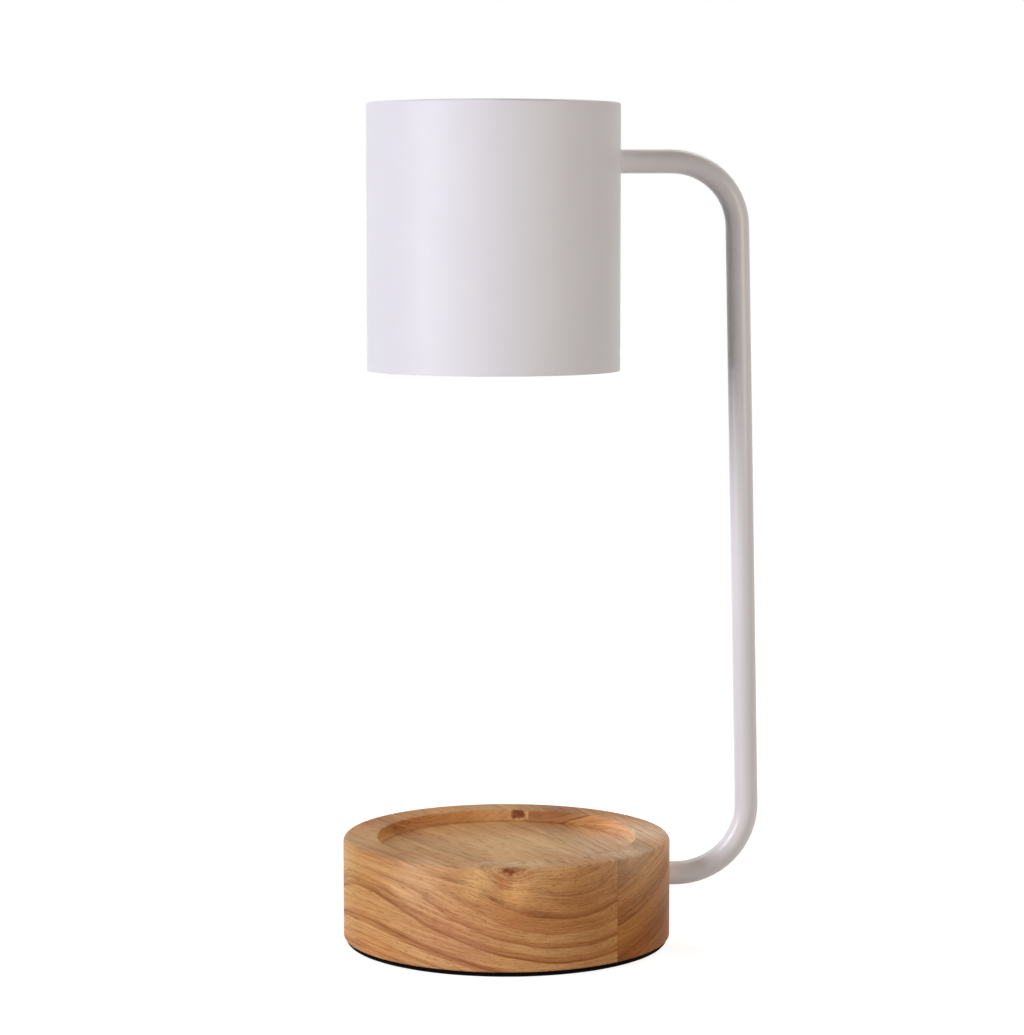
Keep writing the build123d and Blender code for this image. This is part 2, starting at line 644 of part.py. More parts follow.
def holder_contacts():
    """The two spring contacts, each a blade over its pin's travel and a tab up into the cap."""
    contacts = []
    outer = TERMINAL_OFFSET - wire_radius
    for side in (-1, 1):
        left, right = sorted((-side * CONTACT_BACK, side * CONTACT_FRONT))
        near, far = sorted((side * CONTACT_INNER_EDGE, side * outer))
        blade = block((SHADE_X + left, near, blade_bottom), (SHADE_X + right, far, blade_top))
        contacts.append(blade + contact_tab(side, blade_bottom))
    return Part() + contacts


# ---- Bulb ----


def on_curve(wall, height):
    """A radius on the reflector's curve, a wall's thickness in, at a height above the bulb's face."""
    arc = REFLECTOR_CURVE_RADIUS - wall
    return curve_axis + math.sqrt(arc**2 - (height - REFLECTOR_RIM_HEIGHT) ** 2)


def bulb_reflector():
    """The glass bowl: a straight rim that holds the front glass, and a curved wall up to the neck."""
    middle = (REFLECTOR_RIM_HEIGHT + REFLECTOR_DEPTH) / 2

    def at(radius, height):
        return (radius, 0, bulb_face + height)

    seat = FRONT_GLASS_INSET + FRONT_GLASS_THICKNESS
    lip = bulb_radius - REFLECTOR_LIP_WALL
    inner_rim = on_curve(REFLECTOR_WALL, REFLECTOR_RIM_HEIGHT)
    outline = [
        Line(at(lip, 0), at(bulb_radius, 0)),
        Line(at(bulb_radius, 0), at(bulb_radius, REFLECTOR_RIM_HEIGHT)),
        ThreePointArc(*[at(on_curve(0, h), h) for h in (REFLECTOR_RIM_HEIGHT, middle, REFLECTOR_DEPTH)]),
        Line(at(on_curve(0, REFLECTOR_DEPTH), REFLECTOR_DEPTH),
             at(on_curve(REFLECTOR_WALL, REFLECTOR_DEPTH), REFLECTOR_DEPTH)),
        ThreePointArc(*[at(on_curve(REFLECTOR_WALL, h), h)
                        for h in (REFLECTOR_DEPTH, middle, REFLECTOR_RIM_HEIGHT)]),
        Line(at(inner_rim, REFLECTOR_RIM_HEIGHT), at(inner_rim, seat)),
        Line(at(inner_rim, seat), at(lip, seat)),
        Line(at(lip, seat), at(lip, 0)),
    ]
    return Pos(SHADE_X, 0, 0) * revolve(make_face(outline), axis=Axis.Z)


def bulb_front_glass():
    """The flat glass that closes the reflector."""
    low = bulb_face + FRONT_GLASS_INSET
    return upright(bulb_radius - REFLECTOR_LIP_WALL - SNUG, low, low + FRONT_GLASS_THICKNESS, SHADE_X)


def pinch(margin=0.0):
    """The flattened end of the capsule, set in the neck."""
    half_width, half_thickness = PINCH_WIDTH / 2 + margin, PINCH_THICKNESS / 2 + margin
    end = pinch_start + PINCH_LENGTH + margin
    return block((SHADE_X - half_width, -half_thickness, pinch_start),
                 (SHADE_X + half_width, half_thickness, end))


def pin_places():
    """The two pins, in line across the bulb."""
    return pin_circle, -pin_circle


def bulb_neck():
    """The ceramic neck cemented to the reflector; its top seats on the holder's face."""
    start = bulb_face + REFLECTOR_DEPTH
    top_radius = NECK_TOP_DIAMETER / 2
    neck = turned([(0, start), (on_curve(0, REFLECTOR_DEPTH), start), (top_radius, bulb_top - NECK_STRAIGHT),
                   (top_radius, bulb_top), (0, bulb_top)], SHADE_X)
    neck -= pinch(SNUG)
    for y in pin_places():
        neck -= upright(PIN_RADIUS + SNUG, bulb_top - PIN_ROOT - SNUG, bulb_top + OVERCUT, SHADE_X, y)
    return neck


def bulb_pins():
    """The two pins with their wide feet, which hang on the lips of the holder's slots."""
    pins = []
    for y in pin_places():
        shank = upright(PIN_RADIUS, bulb_top - PIN_ROOT, foot_bottom, SHADE_X, y)
        pins.append(shank + upright(PIN_FOOT_RADIUS, foot_bottom, foot_top, SHADE_X, y))
    return Part() + pins


def bulb_capsule():
    """The sealed quartz capsule in the reflector."""
    tip, end = bulb_face + CAPSULE_TIP, pinch_start
    capsule = upright(CAPSULE_RADIUS, tip, end, SHADE_X)
    capsule = fillet(ring_edges(capsule, CAPSULE_RADIUS, tip), CAPSULE_TIP_ROUND)
    capsule -= upright(CAPSULE_RADIUS - CAPSULE_WALL, tip + CAPSULE_TIP_WALL, end - CAPSULE_WALL, SHADE_X)
    return capsule + pinch()


def bulb_filament():
    """The filament's coil and the two leads that hold it."""
    root = pinch_start - CAPSULE_WALL
    level = root - FILAMENT_LEAD_LENGTH
    half = FILAMENT_LENGTH / 2
    filament = along_x(FILAMENT_RADIUS, SHADE_X - half, SHADE_X + half, level)
    for side in (-1, 1):
        x = SHADE_X + side * (half - 2 * FILAMENT_LEAD_RADIUS)
        filament += upright(FILAMENT_LEAD_RADIUS, level, root, x)
    return filament


# ---- Every node, by the function of its name ----

NODES = [
    base_body, foot_pad, counterweight, counterweight_screws, cord_grommet,
    arm_tube, base_nipple, shade_nipple, nipple_nuts, nipple_lock_washers, wire_bushings,
    terminal_block, terminal_sleeves, terminal_screws, terminal_fixing_screw, live_wire, neutral_wire,
    shade_shell, shade_saddle_washer, holder_bracket, holder_screws, holder_body, holder_cap, holder_contacts,
    bulb_reflector, bulb_front_glass, bulb_neck, bulb_pins, bulb_capsule, bulb_filament,
]

os.makedirs("parts", exist_ok=True)
for make in NODES:
    export_step(make(), f"parts/{make.__name__}.step")
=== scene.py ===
"""A candle warmer lamp: turned wood base, bent tube arm and a metal shade over a reflector bulb.

Places are in metres in the frame's own axes: +Z up, +X towards the arm's post, and -Y towards the front.
Finishes are written in millimetres, because their grain and specks are that small.
"""

import json
import logging
import math
from dataclasses import dataclass
from enum import Enum

import bmesh
import bpy
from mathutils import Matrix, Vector


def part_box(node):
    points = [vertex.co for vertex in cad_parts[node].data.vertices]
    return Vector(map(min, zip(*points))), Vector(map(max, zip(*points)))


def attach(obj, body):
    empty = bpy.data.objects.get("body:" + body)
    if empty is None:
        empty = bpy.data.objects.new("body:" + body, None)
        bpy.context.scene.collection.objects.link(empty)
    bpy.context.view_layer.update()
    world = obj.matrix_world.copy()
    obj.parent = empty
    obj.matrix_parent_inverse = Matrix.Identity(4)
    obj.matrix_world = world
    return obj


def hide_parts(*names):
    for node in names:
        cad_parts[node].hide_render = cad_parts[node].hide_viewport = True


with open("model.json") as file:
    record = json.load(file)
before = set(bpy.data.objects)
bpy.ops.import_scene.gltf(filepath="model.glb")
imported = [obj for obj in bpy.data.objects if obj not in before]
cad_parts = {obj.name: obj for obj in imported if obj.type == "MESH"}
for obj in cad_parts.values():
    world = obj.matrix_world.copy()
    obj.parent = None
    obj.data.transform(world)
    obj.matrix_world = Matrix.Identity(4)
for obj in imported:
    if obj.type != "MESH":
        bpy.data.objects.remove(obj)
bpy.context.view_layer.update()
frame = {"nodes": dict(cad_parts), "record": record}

MM = 0.001
FULL_TURN = 2 * math.pi
WHITE = (1.0, 1.0, 1.0, 1.0)
UP = (0.0, 0.0, 1.0)
MIDDLE = 0.5                         # of a noise, or of the tones from light to dark
NOISE_SPAN = (0.3, 0.7)              # the range in which nearly all of a noise lies
SHARP_CORNER = 40.0                  # degrees between faces that meet in a crisp edge
LEVEL = 90.0                         # degrees that a camera turns up from looking straight down
BYTE_TOP = 255
SCREEN_KNEE = 0.04045                # a screen's colour is straight below this share and curved above it
SCREEN_SLOPE = 12.92
SCREEN_LIFT = 0.055
SCREEN_POWER = 2.4
log = logging.getLogger("candle_warmer")

Socket = bpy.types.NodeSocket
Value = Socket | float
Place = tuple[float, float, float]
Colour = tuple[float, float, float, float]


def paint(hex_colour: str) -> Colour:
    """Turn a colour as it looks into the linear colour that a shader takes.

    Args:
        hex_colour: Six hexadecimal digits after a hash.

    Returns:
        Linear red, green and blue, and an alpha of 1.
    """
    linear = []
    for byte in bytes.fromhex(hex_colour[1:]):
        share = byte / BYTE_TOP
        if share <= SCREEN_KNEE:
            linear.append(share / SCREEN_SLOPE)
        else:
            linear.append(((share + SCREEN_LIFT) / (1 + SCREEN_LIFT)) ** SCREEN_POWER)
    return (*linear, 1.0)


# ---- How a finish is mixed ----


@dataclass(frozen=True)
class Blotches:
    """Smooth random blotches: their width, how many finer layers they have, and how strong those are."""

    size: float
    detail: float = 2.0
    rough: float = 0.5


@dataclass(frozen=True)
class Push(Blotches):
    """A random push, which bends lines and makes outlines ragged: blotches, and how far they push."""

    shift: float = 1.0


@dataclass(frozen=True)
class Step:
    """A step in a number: the range that it takes, and the range that it gives."""

    low: float
    high: float
    to_low: float = 0.0
    to_high: float = 1.0


@dataclass(frozen=True)
class Spots:
    """Spots: the blotches that they are cut from, and the step that cuts them."""

    blotches: Blotches
    step: Step


@dataclass(frozen=True)
class Relief:
    """Raised and sunk shading: the height that it stands for, and how much of it shows."""

    depth: float
    strength: float


class Curve(Enum):
    """How a number goes from one end of a step to the other."""

    SMOOTH = "SMOOTHSTEP"
    EVEN = "LINEAR"


class Mixed(Enum):
    """What a mix node mixes: its data type, the numbers of its inputs and that of its output."""

    VECTORS = ("VECTOR", (0, 4, 5), 1)
    COLOURS = ("RGBA", (0, 6, 7), 2)


class NodeBench:
    """A node tree, and the ways to lay out its nodes."""

    def __init__(self, tree: bpy.types.NodeTree) -> None:
        """Start work on a tree."""
        self.tree = tree

    def node(self, kind: str, **settings: object) -> bpy.types.Node:
        """Add a node and set its properties.

        Args:
            kind: The node's type name.
            **settings: Properties of the node.

        Returns:
            The new node.
        """
        made = self.tree.nodes.new(kind)
        for key, value in settings.items():
            setattr(made, key, value)
        return made

    def feed(self, socket: Socket, value: object) -> None:
        """Link a socket to another, or set its own value.

        Args:
            socket: The input to fill.
            value: An output socket, or a plain value.
        """
        if isinstance(value, Socket):
            self.tree.links.new(value, socket)
        else:
            socket.default_value = value

    def join(self, kind: str, *values: object, **settings: object) -> Socket:
        """Add a node and fill its inputs in order.

        Args:
            kind: The node's type name.
            *values: Output sockets or plain values.
            **settings: Properties of the node.

        Returns:
            The node's first output.
        """
        made = self.node(kind, **settings)
        for socket, value in zip(made.inputs, values):
            self.feed(socket, value)
        return made.outputs[0]

    def math(self, operation: str, *values: Value, clamp: bool = False) -> Socket:
        """Work out a number from one to three others.

        Args:
            operation: The maths operation's name.
            *values: Numbers or their sockets.
            clamp: Whether to keep the result from 0 to 1.

        Returns:
            The result's socket.
        """
        return self.join("ShaderNodeMath", *values, operation=operation, use_clamp=clamp)

    def vector(self, operation: str, first: object, second: object = None, third: object = None,
               scale: Value = 1.0) -> Socket:
        """Work out a vector, or the number that a vector operation gives.

        Args:
            operation: The vector operation's name.
            first: A vector or its socket.
            second: A second vector or socket, where the operation takes one.
            third: A third, where it takes one.
            scale: The factor of a SCALE operation.

        Returns:
            The result's socket.
        """
        made = self.node("ShaderNodeVectorMath", operation=operation)
        for socket, value in zip(made.inputs, (first, second, third)):
            if value is not None:
                self.feed(socket, value)
        if operation == "SCALE":
            self.feed(made.inputs["Scale"], scale)
        return made.outputs["Value" if operation in ("DOT_PRODUCT", "DISTANCE", "LENGTH") else "Vector"]

    def triple(self, x: Value, y: Value, z: Value) -> Socket:
        """Join three numbers into a vector.

        Args:
            x: The first number or its socket.
            y: The second.
            z: The third.

        Returns:
            The vector's socket.
        """
        return self.join("ShaderNodeCombineXYZ", x, y, z)

    def spread(self, value: Value, step: Step, curve: Curve = Curve.SMOOTH) -> Socket:
        """Stretch a range of a number onto another range.

        Args:
            value: The number or its socket.
            step: The two ranges.
            curve: The way between their ends.

        Returns:
            The stretched number's socket.
        """
        return self.join("ShaderNodeMapRange", value, step.low, step.high, step.to_low, step.to_high,
                         interpolation_type=curve.value)

    def blend(self, what: Mixed, share: Value, first: object, second: object) -> Socket:
        """Mix two vectors or two colours.

        Args:
            what: Which of them.
            share: How much of the second one, from 0 to 1.
            first: A vector, a colour or its socket.
            second: Another.

        Returns:
            The result's socket.
        """
        data_type, inputs, output = what.value
        made = self.node("ShaderNodeMix", data_type=data_type)
        for index, value in zip(inputs, (share, first, second)):
            self.feed(made.inputs[index], value)
        return made.outputs[output]

    def shades(self, value: Value, stops: list[tuple[float, Colour]]) -> Socket:
        """Look a number up in a row of colours.

        Args:
            value: The number, from 0 to 1.
            stops: Each stop's place and colour, in order.

        Returns:
            The colour found.
        """
        made = self.node("ShaderNodeValToRGB")
        self.feed(made.inputs[0], value)
        elements = made.color_ramp.elements
        while len(elements) < len(stops):
            elements.new(1.0)
        for element, (position, colour) in zip(elements, stops):
            element.position = position
            element.color = colour
        return made.outputs[0]

    def seen_directly(self) -> Socket:
        """Tell whether a ray comes from the camera, a reflection or through glass.

        Returns:
            A socket that is 1 for such a ray, and 0 for a ray that lights the object.
        """
        path = self.node("ShaderNodeLightPath")
        total = path.outputs["Is Camera Ray"]
        for name in ("Is Glossy Ray", "Is Transmission Ray"):
            total = self.math("MAXIMUM", total, path.outputs[name])
        return total


class Recipe(NodeBench):
    """A finish, built up one ingredient at a time, in millimetres of the object's own space."""

    def __init__(self, name: str) -> None:
        """Start an empty finish.

        Args:
            name: The material's name.
        """
        self.material = bpy.data.materials.new(name)
        self.material.use_nodes = True
        super().__init__(self.material.node_tree)
        self.shader = self.tree.nodes["Principled BSDF"]
        self.place = self.vector("SCALE", self.node("ShaderNodeTexCoord").outputs["Object"], scale=1 / MM)

    def speckle(self, blotches: Blotches, place: Socket | None = None) -> bpy.types.Node:
        """Add the node that makes blotches.

        Args:
            blotches: Their size and layers.
            place: Where to read them, if not at the surface's own place.

        Returns:
            The node.
        """
        made = self.node("ShaderNodeTexNoise")
        self.feed(made.inputs["Vector"], self.place if place is None else place)
        self.feed(made.inputs["Scale"], 1 / blotches.size)
        self.feed(made.inputs["Detail"], blotches.detail)
        self.feed(made.inputs["Roughness"], blotches.rough)
        return made

    def noise(self, blotches: Blotches, place: Socket | None = None) -> Socket:
        """Lay down blotches, as a number from 0 to 1, about 0.5 in the middle."""
        return self.speckle(blotches, place).outputs["Fac"]

    def spots(self, spots: Spots) -> Socket:
        """Lay down spots, as a number in the range that their step gives."""
        return self.spread(self.noise(spots.blotches), spots.step)

    def uneven(self, noise: Socket, least: float, most: float) -> Socket:
        """Give a number that follows a noise from one value to another."""
        return self.spread(noise, Step(*NOISE_SPAN, least, most))

    def stirred(self, push: Push) -> Socket:
        """Push the surface's place about, so that what is drawn there has a ragged outline.

        Args:
            push: How to push it.

        Returns:
            The place after the push.
        """
        way = self.vector("SUBTRACT", self.speckle(push).outputs["Color"], (MIDDLE, MIDDLE, MIDDLE))
        shift = 2 * push.shift
        return self.vector("MULTIPLY_ADD", way, (shift, shift, shift), self.place)

    def mix(self, share: Value, first: object, second: object) -> Socket:
        """Mix two colours, by the share of the second one."""
        return self.blend(Mixed.COLOURS, share, first, second)

    def pick(self, share: Value, first: object, second: object) -> Socket:
        """Mix two vectors, by the share of the second one."""
        return self.blend(Mixed.VECTORS, share, first, second)

    def raise_by(self, height: Value, relief: Relief) -> None:
        """Raise and sink the surface's shading.

        Args:
            height: A number from 0 to 1.
            relief: What it stands for.
        """
        made = self.node("ShaderNodeBump")
        self.feed(made.inputs["Strength"], relief.strength)
        self.feed(made.inputs["Distance"], relief.depth * MM)
        self.feed(made.inputs["Height"], height)
        self.feed(self.shader.inputs["Normal"], made.outputs[0])

    def finish(self, **sockets: object) -> bpy.types.Material:
        """Fill the shader's own sockets and hand the material over.

        Args:
            **sockets: Socket names with underscores for spaces, and their values or links.

        Returns:
            The finished material.
        """
        for key, value in sockets.items():
            self.feed(self.shader.inputs[key.replace("_", " ")], value)
        return self.material


# ---- Wood ----


@dataclass(frozen=True)
class GrowthRing:
    """One line of the wood's figure: how far out it lies, how dark it is, and the tone up to the next one.

    Tones run from 0, the lightest wood, to 1, the darkest. The wood before a line darkens over its fade.
    """

    radius: float
    line: float
    tone: float
    fade: float


@dataclass(frozen=True)
class Stave:
    """One board of the glued-up blank: where its heart lies, how its rings run and what colours it has.

    The rings stray by the waver, are wider than high by the squeeze, and dip by the lip's bend where the
    side meets the top. The figure goes on past the first and the last ring by the margin.
    """

    along: Place
    heart: Place
    rings: tuple[GrowthRing, ...]
    light: str
    middle: str
    dark: str
    waver: float
    squeeze: float = 1.0
    heart_width: float = 0.5
    lip_bend: float = 0.0
    margin: float = 6.0
    line_width: float = 0.3

    def across(self) -> Place:
        """Give the level direction square to the board's grain."""
        return (-self.along[1], self.along[0], 0.0)

    def reach(self) -> Step:
        """Give the range of ring distances that the board's figure covers."""
        return Step(self.rings[0].radius - self.margin, self.rings[-1].radius + self.margin)

    def ring_tones(self) -> list[tuple[float, Colour]]:
        """List the growth rings from the heart outwards.

        Returns:
            Stops along the board's reach, from 0 to 1, with each one's tone as a grey.
        """
        tone = MIDDLE
        stops = [(0.0, tone)]
        for ring in self.rings:
            stops += [(ring.radius - ring.fade, tone), (ring.radius, ring.line)]
            stops.append((ring.radius + self.line_width, ring.tone))
            tone = ring.tone
        first, last = self.reach().low, self.reach().high
        return [(max(0.0, (at - first) / (last - first)), (grey, grey, grey, 1.0)) for at, grey in stops]


@dataclass(frozen=True)
class Knot:
    """A small knot: its place, how far and how much it pushes the grain, and how wide its dark heart is."""

    place: Place
    reach: float
    push: float
    heart: float


@dataclass(frozen=True)
# Most patches are the wood's own colour. The pale ones on the seat floor and rim are partly painted light
# that lightens the top face.
class ColourPatch:
    """A cloud of another colour in the wood, strongest at its place, where it may calm the fine grain."""

    place: Place
    reach: float
    colour: str
    share: float
    calm: float = 0.0


@dataclass(frozen=True)
class Inclusion:
    """A small block of other wood with a clean outline, such as bark or gum shut in by the growth."""

    place: Place
    half: Place
    colour: str
    share: float


@dataclass(frozen=True)
class Streaks:
    """Streaks along the grain: a streak's cell, how strong it is, and how many finer layers it has.

    The cell is its thickness through the rings, its width across them and its length along the grain.
    """

    cell: Place
    strength: float
    detail: float
    rough: float = 0.55


@dataclass(frozen=True)
class StavedHardwood:
    """Satin-lacquered hardwood of two edge-glued staves, with its figure running through the solid."""

    name: str
    left: Stave
    right: Stave
    knots: tuple[Knot, ...]
    patches: tuple[ColourPatch, ...]
    inclusions: tuple[Inclusion, ...]
    glue_normal: Place
    glue_offset: float

    # The growth rings: how they bend, drift with height and dip at the lip of the base.
    bends: tuple[Push, ...] = (
        Push(24.0, 1.0, shift=4.0),
        Push(7.0, 1.0, shift=1.4),
        Push(2.4, 1.0, shift=0.48),
    )
    bend_along: float = 0.25
    drift: float = 0.35
    lip_height: Step = Step(-14.0, -2.0)
    lip_width: Step = Step(-22.0, -50.0)

    # The fine grain: its streaks, and what its lightest and darkest parts multiply the colour by.
    bands: Streaks = Streaks((2.2, 45.0, 160.0), 0.6, 3.0)
    lines: Streaks = Streaks((0.5, 18.0, 70.0), 1.4, 2.0)
    hairs: Streaks = Streaks((0.22, 6.0, 30.0), 0.8, 1.0)
    dashes: Streaks = Streaks((0.42, 2.6, 10.0), 0.46, 1.0)
    dash_step: Step = Step(0.55, 0.72)
    pores: Streaks = Streaks((0.25, 1.4, 8.0), 0.4, 0.0)
    pore_step: Step = Step(0.68, 0.8)
    grain_light: Place = (1.32, 1.34, 1.42)
    grain_dark: Place = (0.72, 0.58, 0.48)

    # The colours, and the ragged outlines of the patches, inclusions, knots and glue line.
    tone_stops: tuple[float, float, float] = (0.05, 0.5, 0.95)
    knot_colour: str = "#8A481E"
    pore_colour: str = "#7E4A24"
    glue_colour: str = "#7A4B26"
    ragged: Push = Push(5.0, 3.0, 0.6, shift=3.5)
    torn: Push = Push(1.6, 3.0, 0.6, shift=1.0)
    block_mottle: Spots = Spots(Blotches(2.6, 1.0), Step(0.35, 0.6, 0.8, 1.0))
    block_edge: tuple[float, float] = (0.3, 1.8)
    knot_mottle: Blotches = Blotches(1.1, 2.0, 0.6)
    knot_curl: float = 1.9
    knot_flecks: Step = Step(0.52, 0.66, 0.0, 0.5)
    knot_squash: Place = (0.62, 0.62, 1.0)
    knot_heart: Step = Step(0.3, 0.6, 0.5, 1.15)
    glue_step: Step = Step(0.04, 0.22, 0.45, 0.0)

    # The surface: how far the pores and the glue line sink and the hairs rise, and the satin lacquer.
    pore_sink: float = 0.8
    hair_rise: float = 0.4
    glue_sink: float = 0.6
    relief: Relief = Relief(0.03, 0.4)
    roughness: Step = Step(0.3, 1.4, 0.55, 0.7)
    shine: float = 0.14

    def nearness(self, mix: Recipe, start: Socket, place: Place, reach: float) -> Socket:
        """Give 1 at a place, falling smoothly to 0 around it.

        Args:
            mix: The finish being mixed.
            start: The surface's place.
            place: Where the number is 1.
            reach: How far it takes to fall to about a third.

        Returns:
            The number.
        """
        away = mix.math("DIVIDE", mix.vector("DISTANCE", start, place), reach)
        return mix.math("EXPONENT", mix.math("MULTIPLY", mix.math("POWER", away, 2.0), -1.0))

    def figure(self, mix: Recipe, stave: Stave) -> tuple[Socket, Socket]:
        """Find where each point lies in one stave's figure.

        Args:
            mix: The finish being mixed.
            stave: The stave whose figure is drawn.

        Returns:
            The place as ring distance, which drifts a little with height, place across and place along;
            and the tone of the growth rings.
        """
        start = mix.vector("SUBTRACT", mix.place, stave.heart)
        across = mix.vector("DOT_PRODUCT", start, stave.across())
        along = mix.vector("DOT_PRODUCT", start, stave.along)
        height = mix.vector("DOT_PRODUCT", start, UP)
        flat = mix.triple(mix.math("MULTIPLY", across, stave.squeeze), height, stave.heart_width)
        distance = mix.vector("LENGTH", flat)
        drawn_out = mix.triple(across, mix.math("MULTIPLY", along, self.bend_along), height)
        for push in self.bends:
            bend = mix.math("SUBTRACT", mix.noise(push, drawn_out), MIDDLE)
            distance = mix.math("MULTIPLY_ADD", bend, stave.waver * push.shift, distance)
        for knot in self.knots:
            near = self.nearness(mix, mix.place, knot.place, knot.reach)
            distance = mix.math("MULTIPLY_ADD", near, -knot.push, distance)
        lip = mix.math("MULTIPLY", mix.spread(height, self.lip_height), mix.spread(across, self.lip_width))
        distance = mix.math("MULTIPLY_ADD", lip, -stave.lip_bend, distance)
        tones = mix.shades(mix.spread(distance, stave.reach(), Curve.EVEN), stave.ring_tones())
        return mix.triple(mix.math("MULTIPLY_ADD", height, -self.drift, distance), across, along), tones

    def streaks(self, mix: Recipe, place: Socket, streaks: Streaks) -> Socket:
        """Lay down streaks.

        Args:
            mix: The finish being mixed.
            place: The place in the stave's figure.
            streaks: The streaks to lay.

        Returns:
            A number from 0 to 1, about 0.5 in the middle.
        """
        one_per_cell = Blotches(1.0, streaks.detail, streaks.rough)
        return mix.noise(one_per_cell, mix.vector("DIVIDE", place, streaks.cell))

    def clouds(self, mix: Recipe, colour: Socket, ragged: Socket) -> tuple[Socket, Value]:
        """Lay the patches of other colours over the figure.

        Args:
            mix: The finish being mixed.
            colour: The colour so far.
            ragged: The surface's place, pushed about.

        Returns:
            The colour with its patches, and how much of the fine grain they leave.
        """
        # The pale patches on the seat floor and rim are partly painted light on the top face.
        left: Value = 1.0
        for patch in self.patches:
            near = self.nearness(mix, ragged, patch.place, patch.reach)
            colour = mix.mix(mix.math("MULTIPLY", near, patch.share), colour, paint(patch.colour))
            if patch.calm:
                left = mix.math("MULTIPLY_ADD", mix.math("MULTIPLY", near, left), -patch.calm, left)
        return colour, left

    def knot_marks(self, mix: Recipe, colour: Socket, ragged: Socket) -> Socket:
        """Draw each knot's torn dark heart and the flecks around it.

        Args:
            mix: The finish being mixed.
            colour: The colour so far.
            ragged: The surface's place, pushed about.

        Returns:
            The colour with its knots.
        """
        mottle = mix.noise(self.knot_mottle)
        dark = paint(self.knot_colour)
        for knot in self.knots:
            curl = self.nearness(mix, ragged, knot.place, knot.heart * self.knot_curl)
            colour = mix.mix(mix.math("MULTIPLY", curl, mix.spread(mottle, self.knot_flecks)), colour, dark)
            flat = mix.vector("MULTIPLY", mix.vector("SUBTRACT", ragged, knot.place), self.knot_squash)
            heart = self.nearness(mix, flat, (0.0, 0.0, 0.0), knot.heart)
            worn = mix.math("MULTIPLY", heart, mix.spread(mottle, self.knot_heart), clamp=True)
            colour = mix.mix(worn, colour, dark)
        return colour

    def blocks(self, mix: Recipe, colour: Socket) -> Socket:
        """Set the inclusions into the figure.

        Args:
            mix: The finish being mixed.
            colour: The colour so far.

        Returns:
            The colour with its inclusions.
        """
        torn = mix.stirred(self.torn)
        mottle = mix.spots(self.block_mottle)
        for block in self.inclusions:
            start = mix.vector("DIVIDE", mix.vector("SUBTRACT", torn, block.place), block.half)
            square = mix.vector("MULTIPLY", start, start)
            out = mix.vector("DOT_PRODUCT", square, square)
            share = mix.spread(out, Step(*self.block_edge, block.share, 0.0))
            colour = mix.mix(mix.math("MULTIPLY", share, mottle), colour, paint(block.colour))
        return colour

    def board_colours(self, mix: Recipe, is_right: Socket, tone: Socket) -> Socket:
        """Colour the figure by its tones.

        Args:
            mix: The finish being mixed.
            is_right: A number that is 1 in the right stave and 0 in the left one.
            tone: The tone of the growth rings and their bands.

        Returns:
            The colour of the stave that the surface lies in.
        """
        boards = []
        for board in (self.left, self.right):
            colours = (paint(board.light), paint(board.middle), paint(board.dark))
            boards.append(mix.shades(tone, list(zip(self.tone_stops, colours))))
        return mix.mix(is_right, *boards)

    def make(self) -> bpy.types.Material:
        """Mix the finish.

        Returns:
            The material.
        """
        mix = Recipe(self.name)
        left_place, left_tone = self.figure(mix, self.left)
        right_place, right_tone = self.figure(mix, self.right)
        beyond = mix.vector("DOT_PRODUCT", mix.place, self.glue_normal)
        beyond = mix.math("SUBTRACT", beyond, self.glue_offset)
        is_right = mix.math("GREATER_THAN", beyond, 0.0)
        place = mix.pick(is_right, left_place, right_place)
        tone = mix.mix(is_right, left_tone, right_tone)
        bands = mix.math("SUBTRACT", self.streaks(mix, place, self.bands), MIDDLE)
        tone = mix.math("MULTIPLY_ADD", bands, self.bands.strength, tone, clamp=True)
        ragged = mix.stirred(self.ragged)
        colour, left = self.clouds(mix, self.board_colours(mix, is_right, tone), ragged)

        lines = self.streaks(mix, place, self.lines)
        hairs = self.streaks(mix, place, self.hairs)
        dashes = mix.spread(self.streaks(mix, place, self.dashes), self.dash_step)
        pores = mix.spread(self.streaks(mix, place, self.pores), self.pore_step)
        fine = mix.math("MULTIPLY", dashes, self.dashes.strength)
        for streaks, strength in ((lines, self.lines.strength), (hairs, self.hairs.strength)):
            fine = mix.math("MULTIPLY_ADD", mix.math("SUBTRACT", streaks, MIDDLE), strength, fine)
        fine = mix.math("MULTIPLY_ADD", fine, left, MIDDLE, clamp=True)
        colour = mix.vector("MULTIPLY", colour, mix.pick(fine, self.grain_light, self.grain_dark))
        colour = self.blocks(mix, self.knot_marks(mix, colour, ragged))
        colour = mix.mix(mix.math("MULTIPLY", pores, self.pores.strength), colour, paint(self.pore_colour))
        glue = mix.spread(mix.math("ABSOLUTE", beyond), self.glue_step)
        colour = mix.mix(glue, colour, paint(self.glue_colour))

        height = mix.math("MULTIPLY_ADD", hairs, self.hair_rise, lines)
        for sunk, depth in ((pores, self.pore_sink), (glue, self.glue_sink)):
            height = mix.math("MULTIPLY_ADD", sunk, -depth, height)
        mix.raise_by(height, self.relief)
        rough = mix.spread(mix.math("ADD", lines, pores), self.roughness)
        return mix.finish(Base_Color=colour, Roughness=rough, Specular_IOR_Level=self.shine)


